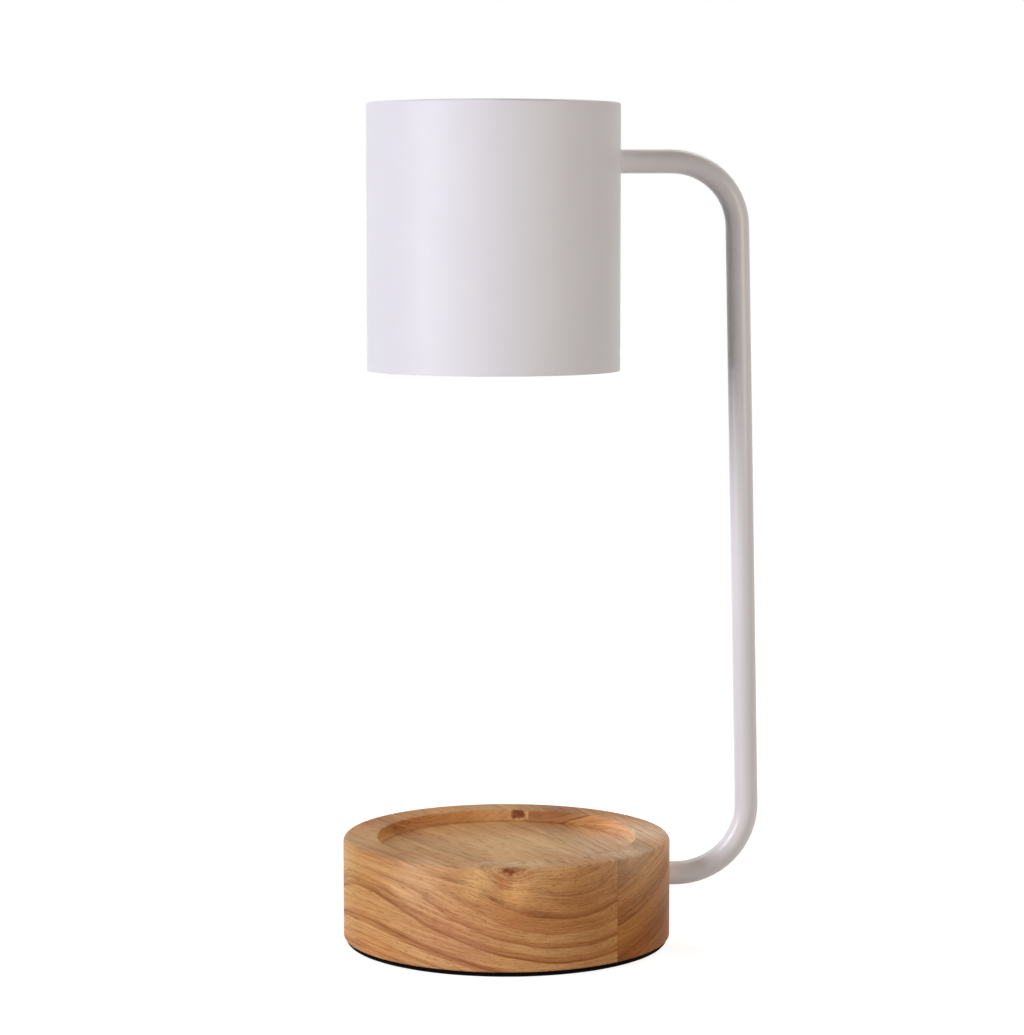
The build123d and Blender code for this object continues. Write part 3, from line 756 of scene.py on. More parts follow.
LAMP_WOOD = StavedHardwood(
    name="staved_hardwood",
    left=Stave(
        along=(0.5, -0.866, 0.0), heart=(-7.9, -4.5, 47.7), squeeze=0.645, heart_width=30.0,
        rings=(
            GrowthRing(33.4, 0.74, 0.55, 1.5), GrowthRing(38.7, 0.95, 0.52, 2.0),
            GrowthRing(43.0, 0.6, 0.3, 0.6), GrowthRing(47.4, 0.78, 0.34, 2.0),
            GrowthRing(50.7, 0.74, 0.6, 1.0), GrowthRing(52.2, 1.0, 0.34, 0.8),
            GrowthRing(57.9, 0.98, 0.62, 1.4), GrowthRing(59.0, 0.64, 0.25, 0.4),
            GrowthRing(62.2, 0.64, 0.4, 0.8), GrowthRing(65.0, 0.68, 0.5, 1.0),
        ),
        light="#ECC186", middle="#CA925A", dark="#884C20", waver=0.4, lip_bend=8.0),
    right=Stave(
        along=(0.352, -0.936, 0.0), heart=(-28.1, -10.6, 171.0),
        rings=(
            GrowthRing(137.0, 0.6, 0.7, 2.0), GrowthRing(145.8, 1.0, 0.62, 0.9),
            GrowthRing(148.7, 1.0, 0.3, 0.7), GrowthRing(151.4, 0.5, 0.34, 0.8),
            GrowthRing(156.5, 0.5, 0.5, 1.2), GrowthRing(160.6, 1.0, 0.6, 1.0),
            GrowthRing(163.4, 1.0, 0.36, 0.7), GrowthRing(172.5, 0.62, 0.66, 3.0),
            GrowthRing(176.2, 1.0, 0.72, 1.6), GrowthRing(180.5, 0.75, 0.55, 1.5),
        ),
        light="#DCA45E", middle="#AC6E34", dark="#5C2E0C", waver=0.5),
    knots=(
        Knot(place=(1.5, -70.0, 44.6), reach=9.5, push=5.5, heart=3.0),
    ),
    patches=(
        ColourPatch((-27.0, -64.5, 23.0), 17.0, "#D0946C", 0.48),
        ColourPatch((-15.0, -68.0, 12.0), 13.0, "#C68A62", 0.38),
        ColourPatch((-63.0, -30.0, 30.0), 18.0, "#CC9550", 0.5),
        ColourPatch((-36.0, -60.0, 42.5), 13.0, "#F4CB98", 0.6),
        ColourPatch((-52.0, -45.0, 6.0), 12.0, "#D79C5C", 0.42),
        ColourPatch((4.2, -69.8, 34.5), 6.5, "#FFC67C", 0.8),
        ColourPatch((-10.5, -69.0, 42.5), 4.5, "#F2C88C", 0.5),
        ColourPatch((3.2, -70.0, 23.6), 8.0, "#B36A38", 0.5),
        ColourPatch((22.0, -66.5, 43.0), 9.0, "#D09248", 0.5),
        ColourPatch((34.0, -61.0, 24.0), 24.0, "#9C5A1C", 0.4),
        ColourPatch((58.0, -38.0, 20.0), 26.0, "#A4621C", 0.35),
        ColourPatch((67.0, -20.0, 18.0), 16.0, "#8A4402", 0.6),
        # Pale patches on the seat floor: partly the wood's own paler middle, partly painted light that
        # lightens the top face.
        ColourPatch((2.0, 2.0, 38.0), 44.0, "#F0D096", 0.58, 0.4),
        ColourPatch((12.0, 6.0, 40.0), 18.0, "#F0CD92", 0.4),
        ColourPatch((-44.0, 26.0, 41.0), 14.0, "#B97F48", 0.4),
        ColourPatch((10.0, 44.0, 39.0), 9.0, "#B4703E", 0.5),
        ColourPatch((47.0, 27.0, 43.0), 14.0, "#F2B478", 0.7),
        ColourPatch((55.0, -43.0, 4.0), 6.0, "#B8622A", 0.4),
        ColourPatch((19.0, 51.5, 42.6), 9.5, "#94481E", 0.62),
        ColourPatch((-13.0, -68.6, 39.0), 6.0, "#F0C684", 0.65),
        ColourPatch((-1.0, -69.9, 39.5), 3.2, "#BC5E26", 0.55),
        ColourPatch((8.0, -69.4, 43.0), 4.0, "#C06A30", 0.5),
        # Pale patches on the rim and seat floor: partly the wood's own tone, partly painted light and
        # lacquer sheen on the top face.
        ColourPatch((60.0, 8.0, 48.0), 24.0, "#FCE2BE", 0.85),
        ColourPatch((38.0, -6.0, 39.0), 15.0, "#EEC9A0", 0.45),
        ColourPatch((6.0, -54.0, 50.0), 16.0, "#F6DFAC", 0.72),
        ColourPatch((48.0, -36.0, 52.0), 19.0, "#ECCDA6", 0.9),
        ColourPatch((-62.0, -10.0, 48.0), 20.0, "#E8CC92", 0.45, 0.5),
        ColourPatch((-14.0, 55.0, 42.0), 26.0, "#CE9048", 0.6, 0.6),
        ColourPatch((0.0, 64.0, 50.0), 26.0, "#DEC08C", 0.4),
    ),
    inclusions=(
        Inclusion((5.0, 55.0, 42.9), (2.9, 4.0, 2.0), "#74381C", 0.9),
        Inclusion((12.0, 54.0, 42.7), (3.4, 3.5, 1.7), "#7E4318", 0.42),
        Inclusion((8.8, 54.6, 42.8), (0.8, 3.0, 1.9), "#E4B582", 0.75),
    ),
    glue_normal=(0.9437, 0.3309, 0.0),
    glue_offset=26.0,
)


# ---- Paint, metal, rubber, plastic, ceramic and glass ----


@dataclass(frozen=True)
class SatinPowderCoat:
    """Baked satin paint on steel: faint orange peel, and a thicker or thinner coat here and there."""

    name: str
    colour: str
    thin: str
    roughness: tuple[float, float]
    peel: float = 0.3
    shine: float = 0.5
    coat: Spots = Spots(Blotches(45.0, 3.0), Step(0.3, 0.7, 0.0, 0.3))
    grain: Spots = Spots(Blotches(0.5), Step(0.35, 0.75, 0.0, 0.25))
    peel_cells: Blotches = Blotches(1.5, rough=0.45)
    peel_depth: float = 0.008
    sheen: Blotches = Blotches(8.0, 3.0)

    def make(self) -> bpy.types.Material:
        """Mix the finish.

        Returns:
            The material.
        """
        mix = Recipe(self.name)
        colour = paint(self.colour)
        for spots in (self.coat, self.grain):
            colour = mix.mix(mix.spots(spots), colour, paint(self.thin))
        mix.raise_by(mix.noise(self.peel_cells), Relief(self.peel_depth, self.peel))
        rough = mix.uneven(mix.noise(self.sheen), *self.roughness)
        return mix.finish(Base_Color=colour, Roughness=rough, Specular_IOR_Level=self.shine)


@dataclass(frozen=True)
class PlatedMetal:
    """Bare or plated metal with fine brush marks, stains and uneven shine."""

    name: str
    colour: str
    stain: str
    roughness: tuple[float, float]
    brush: Blotches = Blotches(0.25, rough=0.6)
    brush_stretch: Place = (0.12, 1.0, 1.0)
    brush_relief: Relief = Relief(0.01, 0.4)
    stains: Spots = Spots(Blotches(7.0, 4.0, 0.6), Step(0.45, 0.75, 0.0, 0.6))
    stain_roughness: float = 0.15

    def make(self) -> bpy.types.Material:
        """Mix the finish.

        Returns:
            The material.
        """
        mix = Recipe(self.name)
        stains = mix.spots(self.stains)
        colour = mix.mix(stains, paint(self.colour), paint(self.stain))
        marks = mix.noise(self.brush, mix.vector("MULTIPLY", mix.place, self.brush_stretch))
        mix.raise_by(marks, self.brush_relief)
        rough = mix.uneven(marks, *self.roughness)
        rough = mix.math("ADD", rough, mix.math("MULTIPLY", stains, self.stain_roughness))
        return mix.finish(Base_Color=colour, Roughness=rough, Metallic=1.0)


@dataclass(frozen=True)
class FoamRubber:
    """Matte cellular or moulded rubber, with pits and a little dust in them, scuffed where it stands."""

    name: str
    colour: str
    dust: str
    cells: Blotches
    pits: Relief
    shine: float = 0.25
    dusting: Spots = Spots(Blotches(12.0, 4.0, 0.6), Step(0.5, 0.8, 0.0, 0.3))
    cell_dust: Step = Step(0.5, 0.7, 0.0, 0.5)
    roughness: tuple[float, float] = (0.95, 0.8)
    scuffed: str = "#3C3B39"
    scuff_height: Step = Step(0.1, 0.5, 1.0, 0.0)
    scuffs: Spots = Spots(Blotches(16.0, 5.0, 0.65), Step(0.35, 0.65, 0.15, 1.0))
    pores: Spots = Spots(Blotches(1.5, 2.0, 0.6), Step(0.4, 0.6, 0.25, 1.0))

    def make(self) -> bpy.types.Material:
        """Mix the finish.

        Returns:
            The material.
        """
        mix = Recipe(self.name)
        cells = mix.noise(self.cells)
        colour = mix.mix(mix.spots(self.dusting), paint(self.colour), paint(self.dust))
        colour = mix.mix(mix.spread(cells, self.cell_dust), colour, paint(self.dust))
        height = mix.vector("DOT_PRODUCT", mix.place, UP)
        worn = mix.math("MULTIPLY", mix.spots(self.scuffs), mix.spots(self.pores))
        worn = mix.math("MULTIPLY", mix.spread(height, self.scuff_height), worn)
        colour = mix.mix(worn, colour, paint(self.scuffed))
        mix.raise_by(cells, self.pits)
        rough = mix.uneven(cells, *self.roughness)
        return mix.finish(Base_Color=colour, Roughness=rough, Specular_IOR_Level=self.shine)


@dataclass(frozen=True)
class MouldedPlastic:
    """Moulded plastic or extruded insulation, slightly mottled, with a soft sheen."""

    name: str
    colour: str
    mottle: str
    mottling: Spots = Spots(Blotches(4.0, 3.0), Step(0.4, 0.7, 0.0, 0.5))
    grain: Blotches = Blotches(0.5)
    relief: Relief = Relief(0.01, 0.4)
    roughness: tuple[float, float] = (0.4, 0.52)
    cloudiness: float = 0.05
    light_depth: float = 0.5

    def make(self) -> bpy.types.Material:
        """Mix the finish.

        Returns:
            The material.
        """
        mix = Recipe(self.name)
        colour = mix.mix(mix.spots(self.mottling), paint(self.colour), paint(self.mottle))
        grain = mix.noise(self.grain)
        mix.raise_by(grain, self.relief)
        return mix.finish(Base_Color=colour, Roughness=mix.uneven(grain, *self.roughness),
                          Subsurface_Weight=self.cloudiness, Subsurface_Scale=self.light_depth * MM)


@dataclass(frozen=True)
class UnglazedCeramic:
    """Chalky steatite with fine pits and a warm scorch here and there."""

    name: str
    colour: str
    scorch: str
    scorching: Spots = Spots(Blotches(9.0, 3.0, 0.55), Step(0.5, 0.75, 0.0, 0.5))
    pits: Blotches = Blotches(0.35, 3.0, 0.6)
    pit_scorch: Step = Step(0.62, 0.75, 0.0, 0.25)
    relief: Relief = Relief(0.03, 0.6)
    roughness: tuple[float, float] = (0.7, 0.85)

    def make(self) -> bpy.types.Material:
        """Mix the finish.

        Returns:
            The material.
        """
        mix = Recipe(self.name)
        colour = mix.mix(mix.spots(self.scorching), paint(self.colour), paint(self.scorch))
        pits = mix.noise(self.pits)
        colour = mix.mix(mix.spread(pits, self.pit_scorch), colour, paint(self.scorch))
        mix.raise_by(pits, self.relief)
        return mix.finish(Base_Color=colour, Roughness=mix.uneven(pits, *self.roughness))


@dataclass(frozen=True)
class BulbGlass:
    """Clear pressed glass with faint waviness and a film of dust."""

    name: str
    colour: str
    dust: str
    film: Spots = Spots(Blotches(8.0, 4.0, 0.6), Step(0.45, 0.8, 0.0, 0.25))
    waves: Blotches = Blotches(5.0, 1.0, 0.4)
    relief: Relief = Relief(0.05, 0.3)
    roughness: Step = Step(0.0, 0.25, 0.02, 0.12)
    bending: float = 1.47

    def make(self) -> bpy.types.Material:
        """Mix the finish.

        Returns:
            The material.
        """
        mix = Recipe(self.name)
        film = mix.spots(self.film)
        colour = mix.mix(film, paint(self.colour), paint(self.dust))
        mix.raise_by(mix.noise(self.waves), self.relief)
        rough = mix.spread(film, self.roughness)
        return mix.finish(Base_Color=colour, Roughness=rough, Transmission_Weight=1.0, IOR=self.bending)


class Finish(Enum):
    """The lamp's finishes, each under the record's slot of the same name."""

    WOOD = "wood"
    FOOT_PAD = "foot_pad"
    WEIGHT_STEEL = "weight_steel"
    ZINC_STEEL = "zinc_steel"
    GROMMET_RUBBER = "grommet_rubber"
    ARM_PAINT = "arm_paint"
    SHADE_PAINT = "shade_paint"
    NYLON = "nylon"
    BRASS = "brass"
    LIVE_INSULATION = "live_insulation"
    NEUTRAL_INSULATION = "neutral_insulation"
    CERAMIC = "ceramic"
    REFLECTOR = "reflector"
    CLEAR_GLASS = "clear_glass"
    TUNGSTEN = "tungsten"


FINISH_RECIPES = {
    Finish.WOOD: LAMP_WOOD,
    Finish.FOOT_PAD: FoamRubber("black_foam", "#030303", "#121212", cells=Blotches(0.45, 3.0, 0.6),
                                pits=Relief(0.12, 0.7), shine=0.06),
    Finish.WEIGHT_STEEL: PlatedMetal("blackened_plate", "#5A5A5C", "#3B302A", (0.45, 0.57)),
    Finish.ZINC_STEEL: PlatedMetal("zinc_plate", "#C9CBCE", "#A59F8E", (0.28, 0.4)),
    Finish.GROMMET_RUBBER: FoamRubber("soft_rubber", "#141414", "#2E2C2A", cells=Blotches(0.2, 3.0, 0.6),
                                      pits=Relief(0.01, 0.7)),
    Finish.ARM_PAINT: SatinPowderCoat("arm_powder_coat", "#F0EDEF", "#E7E4E6", (0.3, 0.36), peel=0.1),
    Finish.SHADE_PAINT: SatinPowderCoat("shade_powder_coat", "#EEEDF2", "#E7E6EC", (0.42, 0.48),
                                        shine=0.33),
    Finish.NYLON: MouldedPlastic("nylon", "#E4E2D8", "#D2CEC0"),
    Finish.BRASS: PlatedMetal("plain_brass", "#D8B36A", "#9C7436", (0.25, 0.37)),
    Finish.LIVE_INSULATION: MouldedPlastic("brown_insulation", "#5A3018", "#4A2612"),
    Finish.NEUTRAL_INSULATION: MouldedPlastic("blue_insulation", "#2C5CA0", "#234C88"),
    Finish.CERAMIC: UnglazedCeramic("steatite", "#EDE9DE", "#D8C9AC"),
    Finish.REFLECTOR: PlatedMetal("aluminised_glass", "#E8EAEC", "#C8CCD4", (0.12, 0.24)),
    Finish.CLEAR_GLASS: BulbGlass("clear_glass", "#F7FAFA", "#E0E2E0"),
    Finish.TUNGSTEN: PlatedMetal("tungsten", "#77777A", "#5C5A58", (0.4, 0.52),
                                 brush=Blotches(0.08, rough=0.6)),
}


class PaintShop:
    """Makes each finish once and puts it on the pieces that take it."""

    def __init__(self) -> None:
        """Start with no finish mixed and no piece dressed."""
        self.mixed: dict[Finish, bpy.types.Material] = {}
        self.dressed: set[str] = set()

    def material(self, finish: Finish) -> bpy.types.Material:
        """Give a finish's material, mixing it the first time.

        Args:
            finish: The finish wanted.

        Returns:
            Its material.
        """
        if finish not in self.mixed:
            self.mixed[finish] = FINISH_RECIPES[finish].make()
        return self.mixed[finish]

    def dress(self, piece: bpy.types.Object, finish: Finish) -> None:
        """Put one finish all over a piece.

        Args:
            piece: A frame node or a new piece.
            finish: The finish to put on.
        """
        piece.data.materials.clear()
        piece.data.materials.append(self.material(finish))
        self.dressed.add(piece.name)


# ---- The lamp's sub-assemblies ----


class Body(Enum):
    """The bodies that the lamp's pieces move with."""

    LAMP = "lamp"
    BULB = "bulb"


def set_down(name: str, data: bpy.types.ID) -> bpy.types.Object:
    """Put something new into the scene.

    Args:
        name: Its name.
        data: The mesh, lamp or camera that it shows.

    Returns:
        The new object.
    """
    placed = bpy.data.objects.new(name, data)
    bpy.context.scene.collection.objects.link(placed)
    return placed


def around(radii: list[float], height: float, middle: Place) -> list[Place]:
    """Place points evenly round an upright axis.

    Args:
        radii: Each point's distance from the axis.
        height: How far the points lie above the middle.
        middle: A place on the axis.

    Returns:
        The points.
    """
    points = []
    for step, radius in enumerate(radii):
        turn = FULL_TURN * step / len(radii)
        x, y = middle[0] + radius * math.cos(turn), middle[1] + radius * math.sin(turn)
        points.append((x, y, middle[2] + height))
    return points


def skin(name: str, rings: list[list[Place]], closed: bool) -> bpy.types.Object:
    """Join rings of points into a smooth mesh with crisp corners.

    Args:
        name: The piece's name.
        rings: Rings of as many points each, or of one point where the mesh closes on the axis.
        closed: Whether the last ring joins the first.

    Returns:
        The new piece.
    """
    form = bmesh.new()
    made = [[form.verts.new(point) for point in points] for points in rings]
    pairs = list(zip(made, made[1:])) + ([(made[-1], made[0])] if closed else [])
    for lower, upper in pairs:
        steps = max(len(lower), len(upper))
        for step in range(steps):
            following = (step + 1) % steps
            corners = [lower[step % len(lower)], lower[following % len(lower)],
                       upper[following % len(upper)], upper[step % len(upper)]]
            form.faces.new(list(dict.fromkeys(corners)))
    bmesh.ops.recalc_face_normals(form, faces=form.faces)
    mesh = bpy.data.meshes.new(name)
    form.to_mesh(mesh)
    form.free()
    mesh.shade_smooth()
    mesh.set_sharp_from_angle(angle=math.radians(SHARP_CORNER))
    return set_down(name, mesh)


@dataclass
class SubAssembly:
    """Pieces that are put together on the bench before the lamp is."""

    shop: PaintShop
    body: Body = Body.LAMP
    nodes: tuple[str, ...] = ()

    def finish_of(self, node: str) -> Finish:
        """Look up the finish that the record gives a node."""
        slots = {part["node"]: part["material_slot"] for part in frame["record"]["subparts"]}
        return Finish(slots[node])

    def dress(self) -> None:
        """Put each node's own finish on it."""
        for node in self.nodes:
            finish = self.finish_of(node)
            self.shop.dress(frame["nodes"][node], finish)
            log.info("  %s: %s", node, finish.value)

    def stand_in(self, piece: bpy.types.Object, node: str) -> None:
        """Put a finished mesh in a plain node's place.

        Args:
            piece: The finished mesh.
            node: The node whose finish and place it takes.
        """
        finish = self.finish_of(node)
        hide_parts(node)
        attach(piece, self.body.value)
        self.shop.dress(piece, finish)
        self.shop.dressed.add(node)
        log.info("  %s: %s, in place of %s", piece.name, finish.value, node)

    def build(self) -> None:
        """Make the sub-assembly's own meshes, if it has any, and dress everything."""
        log.info("%s", type(self).__name__)
        self.make_meshes()
        self.dress()

    def make_meshes(self) -> None:
        """Make the meshes that stand in for plain nodes."""


@dataclass
class WoodBase(SubAssembly):
    """The turned base with its counterweight, and the foam foot under it, in millimetres."""

    nodes: tuple[str, ...] = ("base_body", "counterweight", "counterweight_screws", "cord_grommet")
    foot_edge_round: float = 0.35
    foot_bulge: float = 0.2
    foot_ripple: float = 0.08
    foot_waves: tuple[tuple[int, float], ...] = ((5, 0.7), (13, 2.1), (29, 0.0))
    foot_steps: int = 240
    foot_side_rows: int = 8

    def foot_ring(self, radius: float, height: float, middle: Place) -> list[Place]:
        """Make one ring of the foam's edge, cut a little unevenly.

        Args:
            radius: The ring's radius, in metres.
            height: Its height over the table, in metres.
            middle: The place under the base's middle.

        Returns:
            The ring's points.
        """
        radii = []
        for step in range(self.foot_steps):
            turn = FULL_TURN * step / self.foot_steps
            waves = [math.sin(count * turn + start) for count, start in self.foot_waves]
            radii.append(radius + self.foot_ripple * MM * (sum(waves) / len(waves) - 1))
        return around(radii, height, middle)

    def make_meshes(self) -> None:
        """Cut the foam foot, with its edge pressed out a little by the lamp's weight."""
        low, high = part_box("foot_pad")
        middle = ((low[0] + high[0]) / 2, (low[1] + high[1]) / 2, low[2])
        radius, thickness = (high[0] - low[0]) / 2, high[2] - low[2]
        corner = self.foot_edge_round * MM
        side = []
        for row in range(self.foot_side_rows + 1):
            share = row / self.foot_side_rows
            bulge = self.foot_bulge * MM * (math.sin(math.pi * share) - 1)
            height = corner + share * (thickness - 2 * corner)
            side.append(self.foot_ring(radius + bulge, height, middle))
        inner = radius - self.foot_bulge * MM - corner
        under, over = [[around([0.0], height, middle), self.foot_ring(radius / 2, height, middle),
                        self.foot_ring(inner, height, middle)] for height in (0.0, thickness)]
        foot = skin("foam_foot", [*under, *side, *reversed(over)], closed=False)
        self.stand_in(foot, "foot_pad")


@dataclass
class BentArm(SubAssembly):
    """The bent tube, with the nipples, nuts, washers and bushings at its two ends."""

    nodes: tuple[str, ...] = ("arm_tube", "base_nipple", "shade_nipple", "nipple_nuts",
                              "nipple_lock_washers", "wire_bushings")


@dataclass
class Wiring(SubAssembly):
    """The two wires through the arm and the terminal block in the base."""

    nodes: tuple[str, ...] = ("terminal_block", "terminal_sleeves", "terminal_screws",
                              "terminal_fixing_screw", "live_wire", "neutral_wire")


@dataclass
class Shade(SubAssembly):
    """The drawn steel shade, the washer that fits its wall, and the strip that carries the holder."""

    nodes: tuple[str, ...] = ("shade_shell", "shade_saddle_washer", "holder_bracket", "holder_screws")


@dataclass
class BulbHolder(SubAssembly):
    """The ceramic twist-lock holder."""

    nodes: tuple[str, ...] = ("holder_body", "holder_cap", "holder_contacts")


@dataclass
class ReflectorBulb(SubAssembly):
    """The bulb, in millimetres: a reflector with a dimpled dish, its glass, capsule, neck and pins."""

    body: Body = Body.BULB
    nodes: tuple[str, ...] = ("bulb_front_glass", "bulb_neck", "bulb_pins", "bulb_capsule")
    curve_radius: float = 33.0
    wall: float = 1.6
    rim_height: float = 3.0
    lip_wall: float = 1.2
    glass_seat: float = 2.0
    dimples_round: int = 30
    dimple_rows: int = 8
    dimple_height: float = 0.45
    steps_per_dimple: int = 8
    outside_stride: int = 2
    coil_turns: int = 11
    coil_radius: float = 0.52
    coil_wire: float = 0.11
    coil_steps: int = 14
    coil_inset: float = 0.4
    lead_wire: float = 0.2
    wire_roundness: int = 3

    def dish_radius(self, rim: float, inset: float, height: float) -> float:
        """Give the dish's radius at a height over the bulb's face.

        Args:
            rim: The bulb's outer radius.
            inset: How far inside the outer skin to measure, along the curve's radius.
            height: The height over the face.

        Returns:
            The radius.
        """
        arc = self.curve_radius - inset
        return rim - self.curve_radius + math.sqrt(arc ** 2 - (height - self.rim_height) ** 2)

    def even(self, radius: float) -> list[float]:
        """Give one radius at every step round."""
        return [radius] * (self.dimples_round * self.steps_per_dimple)

    def dimpled(self, radius: float, row: float) -> list[float]:
        """Dent one ring of the dish, with each row of dimples half a dimple on from the last.

        Args:
            radius: The dish's radius there.
            row: How many rows of dimples lie below.

        Returns:
            The radius at each step round.
        """
        radii = []
        for step in range(self.dimples_round * self.steps_per_dimple):
            across = step / self.steps_per_dimple + (int(row) % 2) / 2
            swell = abs(math.sin(math.pi * across)) * abs(math.sin(math.pi * row))
            radii.append(radius - self.dimple_height * math.sqrt(swell) * radius / self.curve_radius)
        return radii

    def make_reflector(self) -> None:
        """Press the reflector: a smooth outside, and rows of dimples inside that spread the light."""
        low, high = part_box("bulb_reflector")
        middle = ((low[0] + high[0]) / 2, (low[1] + high[1]) / 2, low[2])
        rim, depth = (high[0] - low[0]) / 2 / MM, (high[2] - low[2]) / MM
        rows = self.dimple_rows * self.steps_per_dimple
        climb = [self.rim_height + (depth - self.rim_height) * row / rows for row in range(rows + 1)]
        outline = [(self.even(rim - self.lip_wall), 0.0), (self.even(rim), 0.0)]
        for height in climb[::self.outside_stride]:
            outline.append((self.even(self.dish_radius(rim, 0.0, height)), height))
        for row in range(rows, -1, -1):
            radius = self.dish_radius(rim, self.wall, climb[row])
            outline.append((self.dimpled(radius, row / self.steps_per_dimple), climb[row]))
        for radius in (self.dish_radius(rim, self.wall, self.rim_height), rim - self.lip_wall):
            outline.append((self.even(radius), self.glass_seat))
        rings = [around([radius * MM for radius in radii], height * MM, middle)
                 for radii, height in outline]
        self.stand_in(skin("dimpled_reflector", rings, closed=True), "bulb_reflector")

    def make_filament(self) -> None:
        """Wind the tungsten coil between its two leads."""
        low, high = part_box("bulb_filament")
        middle = (low[0] + high[0]) / 2
        half = (high[0] - low[0]) / 2 - self.coil_inset * MM
        level = low[2] + (high[1] - low[1]) / 2
        curve = bpy.data.curves.new("coil_line", "CURVE")
        curve.dimensions = "3D"
        curve.bevel_depth = self.coil_wire * MM
        curve.bevel_resolution = self.wire_roundness
        curve.use_fill_caps = True
        steps = self.coil_turns * self.coil_steps
        coil = []
        for step in range(steps + 1):
            turn = FULL_TURN * step / self.coil_steps
            coil.append((middle + half * (2 * step / steps - 1), self.coil_radius * MM * math.sin(turn),
                         level + self.coil_radius * MM * math.cos(turn)))
        wires = [(coil, self.coil_wire)]
        for end in (middle - half, middle + half):
            wires.append(([(end, 0.0, level), (end, 0.0, high[2])], self.lead_wire))
        for points, wire in wires:
            line = curve.splines.new("POLY")
            line.points.add(len(points) - 1)
            for point, place in zip(line.points, points):
                point.co = (*place, 1.0)
                point.radius = wire / self.coil_wire
        line_object = bpy.data.objects.new("coil_line", curve)
        mesh = bpy.data.meshes.new_from_object(line_object)
        bpy.data.objects.remove(line_object)
        mesh.shade_smooth()
        self.stand_in(set_down("coiled_filament", mesh), "bulb_filament")

    def make_meshes(self) -> None:
        """Make the reflector and the filament."""
        self.make_reflector()
        self.make_filament()


# ---- The room ----


@dataclass
class Softbox:
    """A soft lamp on a stand round the table, facing the lamp's middle.

    Bearings are in degrees from the front, positive to the right; sizes are in metres and power in watts.
    """

    name: str
    bearing: float
    height_angle: float
    width: float
    height: float
    power: float
    colour: str
    distance: float = 1.5
    target: Place = (0.02, 0.0, 0.2)
    only_on: tuple[str, ...] = ()
    kept_off: tuple[str, ...] = ()

    def flag(self, box: bpy.types.Object) -> None:
        """Keep the lamp's light on some pieces only, or off some pieces, as a black flag does.

        Args:
            box: The lamp.
        """
        reach = bpy.data.collections.new(self.name + "_reach")
        for node in self.only_on + self.kept_off:
            reach.objects.link(frame["nodes"][node])
        for member in reach.collection_objects:
            member.light_linking.link_state = "EXCLUDE" if self.kept_off else "INCLUDE"
        box.light_linking.receiver_collection = reach

    def build(self) -> None:
        """Hang the softbox."""
        data = bpy.data.lights.new(self.name, "AREA")
        data.shape = "RECTANGLE"
        data.size, data.size_y = self.width, self.height
        data.energy = self.power
        data.color = paint(self.colour)[:3]
        turn, up = math.radians(self.bearing), math.radians(self.height_angle)
        towards = Vector((math.sin(turn) * math.cos(up), -math.cos(turn) * math.cos(up), math.sin(up)))
        box = set_down(self.name, data)
        box.location = Vector(self.target) + self.distance * towards
        box.rotation_euler = (-towards).to_track_quat("-Z", "Y").to_euler()
        if self.only_on or self.kept_off:
            self.flag(box)


SOFTBOXES = (
    Softbox("left_box", -62, 8, 0.31, 0.9, 12.77, "#FAF8FF", kept_off=("arm_tube",)),
    Softbox("front_left_box", -36, 8, 0.62, 0.9, 5.26, "#FBF9FF", kept_off=("arm_tube",)),
    Softbox("arm_box", -66, 15, 0.31, 0.9, 19.58, "#FAF8FF", only_on=("arm_tube",)),
    Softbox("right_box", 48, 8, 0.62, 0.9, 9.07, "#FFF5EA"),
    Softbox("high_back_left_box", -150, 50, 0.6, 0.6, 4.8, "#FFFFFF"),
    Softbox("high_back_right_box", 150, 50, 0.6, 0.6, 4.8, "#FFF8F0"),
)


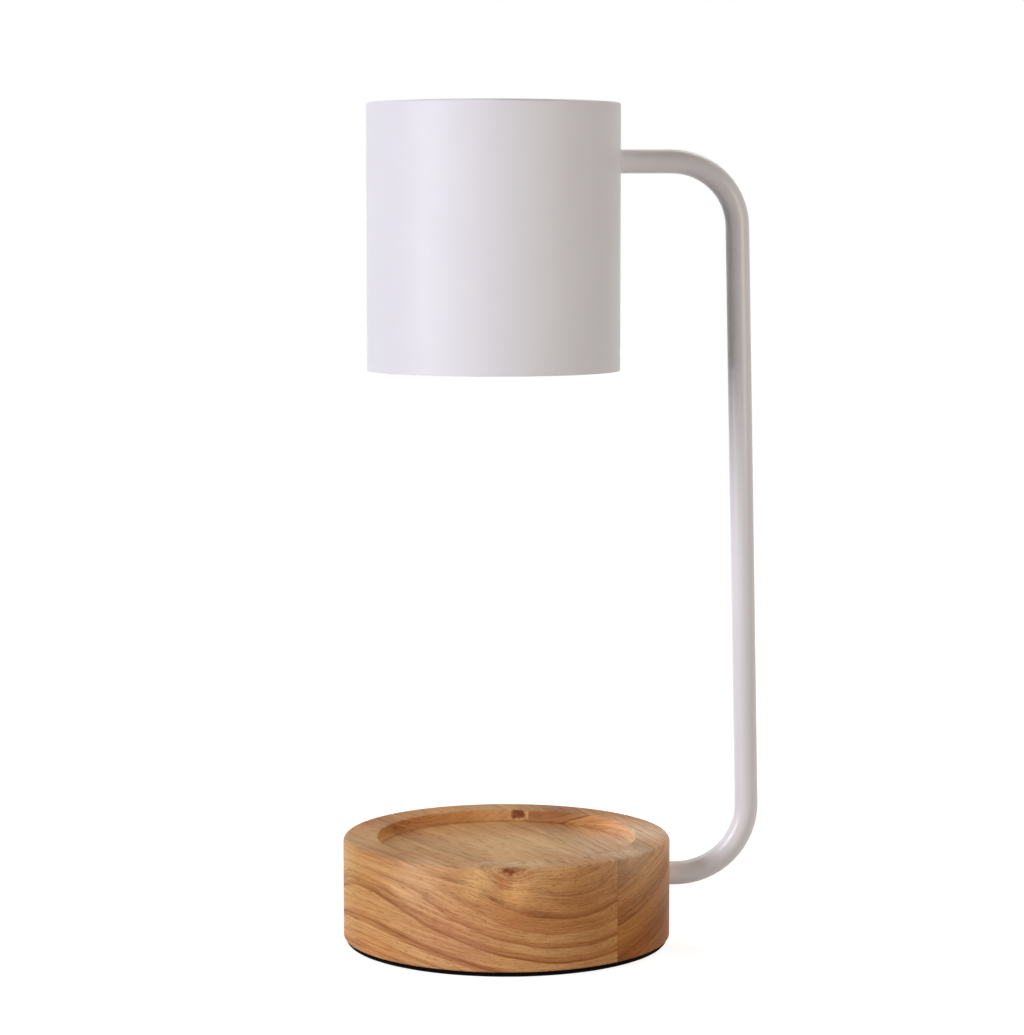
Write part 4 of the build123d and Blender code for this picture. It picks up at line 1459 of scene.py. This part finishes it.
@dataclass
class Studio:
    """A pale floor, soft lamps and a long lens at table height, a little above the lamp's middle."""

    camera_place: Place = (0.00236, -1.28728, 0.3097)
    camera_dip: float = 5.672
    lens: float = 105.84
    sensor: float = 36.0
    floor_size: float = 12.0
    floor_gap: float = 0.0002
    floor_colour: Colour = (0.5, 0.5, 0.5, 1.0)
    floor_glow: Step = Step(150.0, 500.0, 0.86, 1.0)
    ambient: float = 0.02

    def camera(self) -> None:
        """Set the camera up and make it the scene's."""
        data = bpy.data.cameras.new("long_lens")
        data.lens = self.lens
        data.sensor_width = self.sensor
        holder = set_down("long_lens", data)
        holder.location = self.camera_place
        holder.rotation_euler = (math.radians(LEVEL - self.camera_dip), 0.0, 0.0)
        bpy.context.scene.camera = holder

    def floor_finish(self) -> bpy.types.Material:
        """Mix the floor's finish: matte, white where it is looked at, and clear from below.

        Returns:
            The material.
        """
        mix = Recipe("pale_floor")
        mix.finish(Base_Color=self.floor_colour, Roughness=1.0, Specular_IOR_Level=0.0)
        level = mix.spread(mix.vector("LENGTH", mix.place), self.floor_glow, Curve.EVEN)
        glow = mix.node("ShaderNodeEmission")
        mix.feed(glow.inputs["Strength"], mix.math("MULTIPLY", mix.seen_directly(), level))
        above = mix.join("ShaderNodeAddShader", mix.shader.outputs[0], glow.outputs[0])
        from_below = mix.node("ShaderNodeNewGeometry").outputs["Backfacing"]
        both = mix.join("ShaderNodeMixShader", from_below, above, mix.join("ShaderNodeBsdfTransparent"))
        mix.feed(mix.tree.nodes["Material Output"].inputs["Surface"], both)
        return mix.material

    def floor(self) -> None:
        """Lay the pale floor that keeps the lamp's soft shadow."""
        half = self.floor_size / 2
        corners = [(-half, -half, 0.0), (half, -half, 0.0), (half, half, 0.0), (-half, half, 0.0)]
        mesh = bpy.data.meshes.new("floor")
        mesh.from_pydata(corners, [], [(0, 1, 2, 3)])
        mesh.materials.append(self.floor_finish())
        floor = set_down("floor", mesh)
        floor.location.z = -self.floor_gap

    def sky(self) -> None:
        """Surround the lamp with even light, seen as plain white."""
        world = bpy.data.worlds.new("white_room")
        bpy.context.scene.world = world
        world.use_nodes = True
        bench = NodeBench(world.node_tree)
        background = bench.tree.nodes["Background"]
        strength = bench.spread(bench.seen_directly(), Step(0.0, 1.0, self.ambient, 1.0), Curve.EVEN)
        bench.feed(background.inputs["Strength"], strength)
        bench.feed(background.inputs["Color"], WHITE)

    def build(self) -> None:
        """Put the whole room in place."""
        self.camera()
        self.floor()
        self.sky()
        for softbox in SOFTBOXES:
            softbox.build()
        bpy.context.scene.view_settings.view_transform = "Standard"


def main() -> None:
    """Build and dress the lamp."""
    logging.basicConfig(level=logging.INFO, format="%(message)s")
    Studio().build()
    shop = PaintShop()
    for kind in (WoodBase, BentArm, Wiring, Shade, BulbHolder, ReflectorBulb):
        kind(shop).build()
    bare = set(frame["nodes"]) - shop.dressed
    log.info("nodes left bare: %s", sorted(bare) or "none")


if __name__ == "__main__":
    main()
